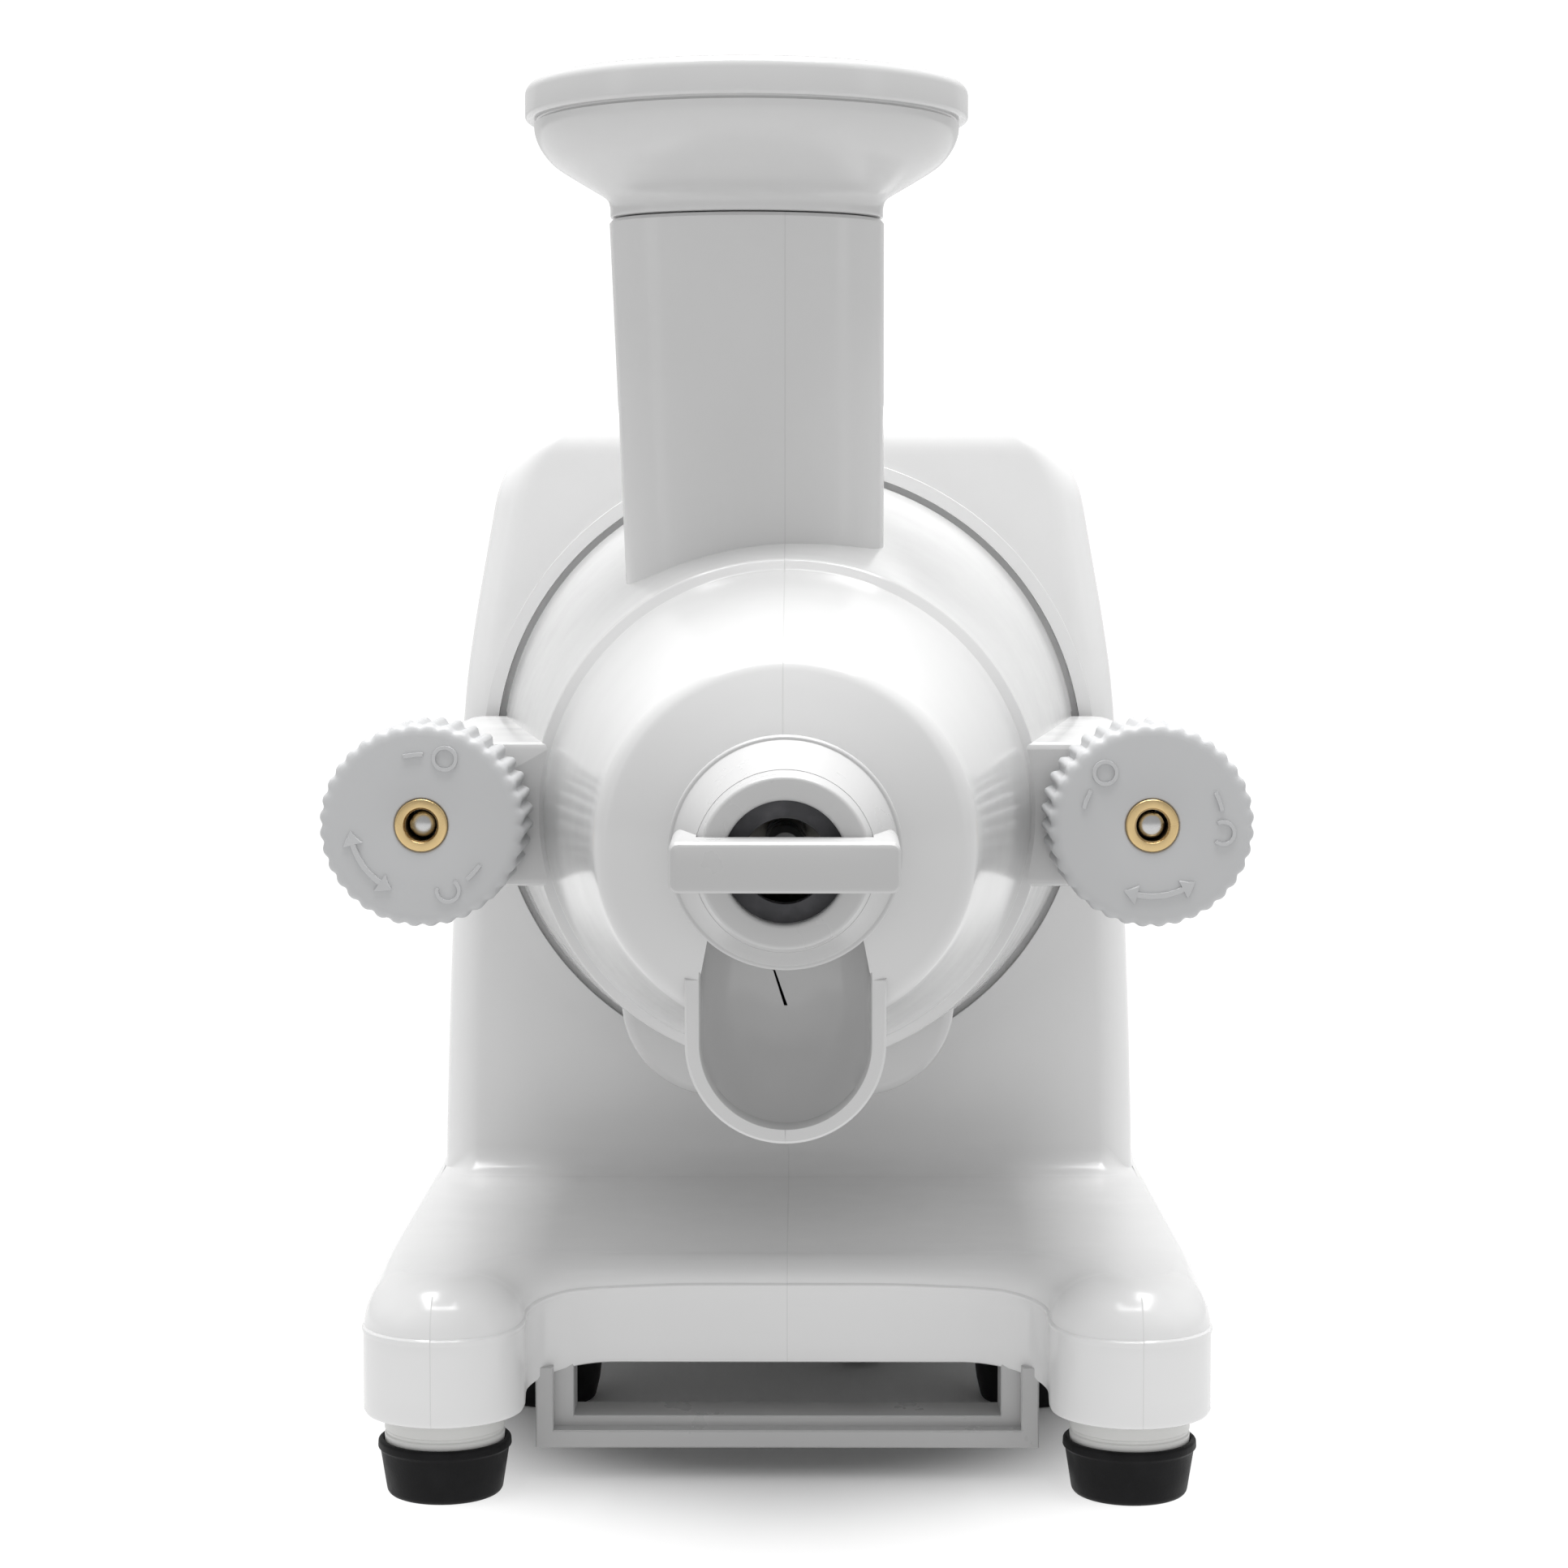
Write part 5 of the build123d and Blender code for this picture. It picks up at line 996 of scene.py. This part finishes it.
def knobMarks(centreX, front, turnDegrees):
    # generic marks: a double-headed arrow along the rim, a closed ring for shut and a broken ring for open
    k = knob
    r = k["markRadius"]
    centre = (centreX, axisHeight)
    marks = []

    def arcPath(radius, start, end, count=24, middle=(0, 0)):
        angle = np.radians(np.linspace(start, end, count) + turnDegrees)
        return np.stack([middle[0] + radius * np.cos(angle), middle[1] + radius * np.sin(angle)], -1)

    marks.append(raisedStrip(centre, arcPath(r, 196, 234), k["markWidth"], front))
    for start, sign in ((196, -1), (234, 1)):
        head = arcPath(r, start, start + sign * 11, 6)
        marks.append(raisedStrip(centre, head, np.linspace(4.2, 0.15, 6), front))
    for spot, sweep in ((70, 360), (292, 250)):
        middle = np.array([r * math.cos(math.radians(spot + turnDegrees)),
                           r * math.sin(math.radians(spot + turnDegrees))])
        angle = np.radians(np.linspace(spot - sweep / 2, spot + sweep / 2 * 0.999, 36) + turnDegrees)
        ring = middle + 2.3 * np.stack([np.cos(angle), np.sin(angle)], -1)
        marks.append(raisedStrip(centre, ring, 0.8, front))
        marks.append(raisedStrip(centre, arcPath(r, spot + 18, spot + 34, 8), 0.9, front))
    return marks


for sideName, turnDegrees in (("left", 0.0), ("right", 62.0)):
    low, high = boxOf(f"knob_{sideName}")
    centreX = (low[0] + high[0]) / 2
    piece = skin(f"thumbKnob_{sideName}", knobRows(centreX, low[1], high[1]), "joined")
    gather(piece, knobMarks(centreX, low[1], turnDegrees))
    finishPiece(piece, f"knob_{sideName}", [f"knob_{sideName}"], knobWhite, 32)
    # brass insert, its end face dished in towards the bore
    low, high = boxOf(f"knob_insert_{sideName}")
    section = roundedPath([(high[1], 3.4, 0), (high[1], knob["insert"], 0.3), (low[1] - 0.25, knob["insert"], 0.5),
                           (low[1] - 0.25, 3.7, 0.2), (low[1] + 0.35, 3.3, 0.15)], True, 5)
    insert = skin(f"brassInsert_{sideName}", spunRows(section, 64, centreX), "joined")
    finishPiece(insert, f"knob_{sideName}", [f"knob_insert_{sideName}"], brassMetal, 40)
print("knobs made")


# ---------- threaded studs ----------
thread = {"pitch": 1.0, "radius": 2.8, "depth": 0.28, "rowsPerTurn": 6, "columns": 24}
for sideName, side in (("left", -1), ("right", 1)):
    low, high = boxOf(f"stud_{sideName}")
    front, back = low[1], high[1]
    t = thread
    proud = -1.0 if sideName == "right" else 0.4  # one stud stands a little further out than the other
    tip = np.array([(front + proud, 0.0), (front + proud + 0.15, 1.9), (front + proud + 0.6, 2.6)])
    y = np.arange(front + proud + 1.6, back - 0.5, t["pitch"] / t["rowsPerTurn"])
    y = np.concatenate([tip[:, 0], y, [back - 0.3, back, back]])
    base = np.concatenate([tip[:, 1], np.full(len(y) - 6, t["radius"]), [2.5, 2.2, 0.0]])
    cut = np.concatenate([np.zeros(3), np.full(len(y) - 6, t["depth"]), np.zeros(3)])
    angle = np.linspace(0, 2 * math.pi, t["columns"], endpoint=False)[None, :]
    wave = 0.5 + 0.5 * np.cos(2 * math.pi * y[:, None] / t["pitch"] - angle)  # one turn of the helix a pitch
    radius = base[:, None] - cut[:, None] * wave
    rows = np.stack([side * drum["studX"] + radius * np.cos(angle), y[:, None] + 0 * angle,
                     axisHeight + radius * np.sin(angle)], -1)
    stud = skin(f"threadedStud_{sideName}", rows, "open")
    finishPiece(stud, "housing", [f"stud_{sideName}"], steelMetal, 60)
print("studs made")


# ---------- feet and tray frame ----------
foot = {"top": 12.3, "lipRadius": 14.5, "floorRadius": 12.4, "postRadius": 13.05, "seat": 6.0}
for sideName, side in (("left", -1), ("right", 1)):
    x, y = side * housing["legX"], housing["legY"]
    cup = roundedPath([(foot["seat"] - 0.2, 0, 0), (0, 0, 0), (0, foot["floorRadius"], 1.6),
                       (foot["top"] - 2.2, foot["lipRadius"] - 0.5, 0.8), (foot["top"] - 1.9, foot["lipRadius"], 0.4),
                       (foot["top"], foot["lipRadius"] - 0.1, 0.7), (foot["top"], foot["postRadius"] + 0.15, 0.3),
                       (foot["seat"] - 0.2, foot["postRadius"] + 0.1, 0)], steps=5)
    cup = np.vstack([cup[1:], cup[:1]])
    piece = skin(f"rubberCup_{sideName}", standingRows(densify(cup, 3), 96, x, y), "open")
    finishPiece(piece, "housing", [f"foot_front_{sideName}"], blackRubber, 40)
    post = roundedPath([(foot["seat"], 0, 0), (foot["seat"], foot["postRadius"] - 0.4, 0.4),
                        (foot["top"] + 1.2, foot["postRadius"], 0.4), (foot["top"] + 1.5, foot["postRadius"] - 0.35, 0.2),
                        (foot["top"] + 2.0, foot["postRadius"] - 0.35, 0.2), (foot["top"] + 2.3, foot["postRadius"], 0.3),
                        (34, foot["postRadius"] - 0.2, 1), (34, 0, 0)], steps=4)
    piece = skin(f"footPost_{sideName}", standingRows(densify(post, 3), 96, x, y), "open")
    finishPiece(piece, "housing", [f"foot_post_{sideName}"], postWhite, 40)
for node in ("feet_middle", "feet_rear"):
    low, high = boxOf(node)
    pads = []
    for x in (low[0] + 13, high[0] - 13):
        pad = roundedPath([(0, 0, 0), (0, 11.2, 1.4), (5, 12.4, 2), (9, 12.9, 0.8), (high[2], 13, 0.8),
                           (high[2], 10.1, 0.3), (8.4, 10.0, 0), (8.2, 0, 0)], steps=4)
        pads.append(skin(node + "Pad", standingRows(densify(pad, 3), 72, x, (low[1] + high[1]) / 2), "open"))
    pads[0].name = "rubberPads_" + node.split("_")[1]
    gather(pads[0], pads[1:])
    finishPiece(pads[0], "housing", [node], blackRubber, 40)
low, high = boxOf("centre_bumper")
pad = roundedPath([(low[2], 0, 0), (low[2], 5.4, 1), (8, 6.3, 1), (high[2], 6.5, 0.5), (high[2], 4.1, 0.2),
                   (8.4, 4.0, 0), (8.2, 0, 0)], steps=4)
bumperRows = standingRows(densify(pad, 3), 48, (low[0] + high[0]) / 2, (low[1] + high[1]) / 2)
piece = skin("rubberBumper", bumperRows, "open")
finishPiece(piece, "housing", ["centre_bumper"], blackRubber, 40)


def makeTrayFrame():
    # a U of square section with a stepped front edge, drawn as nested U loops joined from front to back
    low, high = boxOf("tray_frame")
    half, bottom, top = high[0], low[2], high[2]
    border, lip, step = 3.9, 4.3, 4.0

    def uShape(outerHalf, outerBottom, innerHalf, innerBottom):
        return np.array([(-outerHalf, top), (-outerHalf, outerBottom), (outerHalf, outerBottom), (outerHalf, top),
                         (innerHalf, top), (innerHalf, innerBottom), (-innerHalf, innerBottom), (-innerHalf, top)])

    rim = densify(uShape(half, bottom, half - border, bottom + border), 12, True)
    inner = densify(uShape(half, bottom, half - border - lip, bottom + border + lip - 2), 12, True)
    front = skin("trayFrame", prismRows(rim, [(low[1], 0.35), (low[1] + 0.35, 0), (low[1] + step + 1, 0)]))
    rear = skin("trayFrameInner", prismRows(inner, [(low[1] + step, 0.3), (low[1] + step + 0.3, 0), (high[1], 0)]))
    return combine(front, rear, "UNION")


finishPiece(makeTrayFrame(), "housing", ["tray_frame"], whiteTrim, 30)
print("feet and tray frame made")


# ---------- floor and light ----------
studio = {
    "floorHalf": 6.0, "sky": 0.55, "top": (46.0, 1.2, (0.0, 0.05, 1.6)), "sides": (0.6, 0.3, 1.1),
    "back": (6.0, 4.0, 2.4), "paper": 1.1, "nearRadius": 0.066, "farRadius": 0.13,
    "fadeCentreY": 0.05, "fadeSquash": 0.65,
}
# the floor is matt card by the object and fades to lit white paper further out
floorMaterial, floorTree, floorShader = newMaterial("paleFloor")
floorNoise = noiseNode(floorTree, 3, 2)
floorRamp = rampBetween(floorTree, floorNoise.outputs["Fac"], (0.9, 0.9, 0.9), (0.92, 0.92, 0.92))
floorTree.links.new(floorRamp.outputs["Color"], floorShader.inputs["Base Color"])
floorPlace = floorTree.nodes.new("ShaderNodeTexCoord")
floorReach = floorTree.nodes.new("ShaderNodeVectorMath")
floorReach.operation = "LENGTH"
spot = floorPlace.outputs["Object"]
for operation, amount in (("SUBTRACT", (0, studio["fadeCentreY"], 0)), ("MULTIPLY", (1, studio["fadeSquash"], 1))):
    step = floorTree.nodes.new("ShaderNodeVectorMath")
    step.operation = operation
    step.inputs[1].default_value = amount
    floorTree.links.new(spot, step.inputs[0])
    spot = step.outputs["Vector"]
floorTree.links.new(spot, floorReach.inputs[0])
floorFade = floorTree.nodes.new("ShaderNodeMapRange")
floorFade.interpolation_type = "SMOOTHSTEP"
floorFade.inputs["From Min"].default_value = studio["nearRadius"]
floorFade.inputs["From Max"].default_value = studio["farRadius"]
floorTree.links.new(floorReach.outputs["Value"], floorFade.inputs["Value"])
floorPaper = floorTree.nodes.new("ShaderNodeEmission")
floorPaper.inputs["Strength"].default_value = studio["paper"]
floorMix = floorTree.nodes.new("ShaderNodeMixShader")
floorTree.links.new(floorFade.outputs["Result"], floorMix.inputs["Fac"])
floorTree.links.new(floorShader.outputs["BSDF"], floorMix.inputs[1])
floorTree.links.new(floorPaper.outputs["Emission"], floorMix.inputs[2])
floorTree.links.new(floorMix.outputs["Shader"], floorTree.nodes["Material Output"].inputs["Surface"])
floorShader.inputs["Roughness"].default_value = 0.7
floorShader.inputs["Specular IOR Level"].default_value = 0.2
size = studio["floorHalf"]
floorMesh = bpy.data.meshes.new("studioFloor")
floorMesh.from_pydata([(-size, -size, 0), (size, -size, 0), (size, size, 0), (-size, size, 0)], [], [(0, 1, 2, 3)])
floorMesh.materials.append(floorMaterial)
studioFloor = bpy.data.objects.new("studioFloor", floorMesh)
bpy.context.scene.collection.objects.link(studioFloor)
studioFloor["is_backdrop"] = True

world = bpy.data.worlds.new("softRoom")
world.use_nodes = True
bpy.context.scene.world = world
worldTree = world.node_tree
background = worldTree.nodes["Background"]
background.inputs["Color"].default_value = (1, 1, 1, 1)
background.inputs["Strength"].default_value = studio["sky"]
# what the lens sees directly is plain white paper; the room light itself is dimmer
paper = worldTree.nodes.new("ShaderNodeBackground")
paper.inputs["Color"].default_value = (1, 1, 1, 1)
paper.inputs["Strength"].default_value = studio["paper"]
seen = worldTree.nodes.new("ShaderNodeLightPath")
choose = worldTree.nodes.new("ShaderNodeMixShader")
worldTree.links.new(seen.outputs["Is Camera Ray"], choose.inputs["Fac"])
worldTree.links.new(background.outputs["Background"], choose.inputs[1])
worldTree.links.new(paper.outputs["Background"], choose.inputs[2])
worldTree.links.new(choose.outputs["Shader"], worldTree.nodes["World Output"].inputs["Surface"])


def softbox(name, power, width, height, place, target):
    # a rectangular light that faces its target
    data = bpy.data.lights.new(name, "AREA")
    data.shape = "RECTANGLE"
    data.size = width
    data.size_y = height
    data.energy = power
    lamp = bpy.data.objects.new(name, data)
    lamp.location = place
    way = np.array(target, float) - np.array(place, float)
    lamp.rotation_euler = (math.atan2(math.hypot(way[0], way[1]), -way[2]), 0, math.atan2(-way[0], way[1]))
    bpy.context.scene.collection.objects.link(lamp)
    return lamp


softbox("topBox", studio["top"][0], studio["top"][1], studio["top"][1], studio["top"][2], (0, 0, 0))
power, width, reach = studio["sides"]
softbox("leftBox", power, width, 1.4, (-reach, -0.5, 0.75), (0, 0, 0.15))
softbox("rightBox", power, width, 1.4, (reach, -0.5, 0.75), (0, 0, 0.15))
power, width, height = studio["back"]
softbox("backBox", power, width, height, (0, 2.2, 0.5 * height), (0, 0, 0.3))
bpy.context.scene.view_settings.view_transform = "Standard"
print("studio made")

low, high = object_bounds()
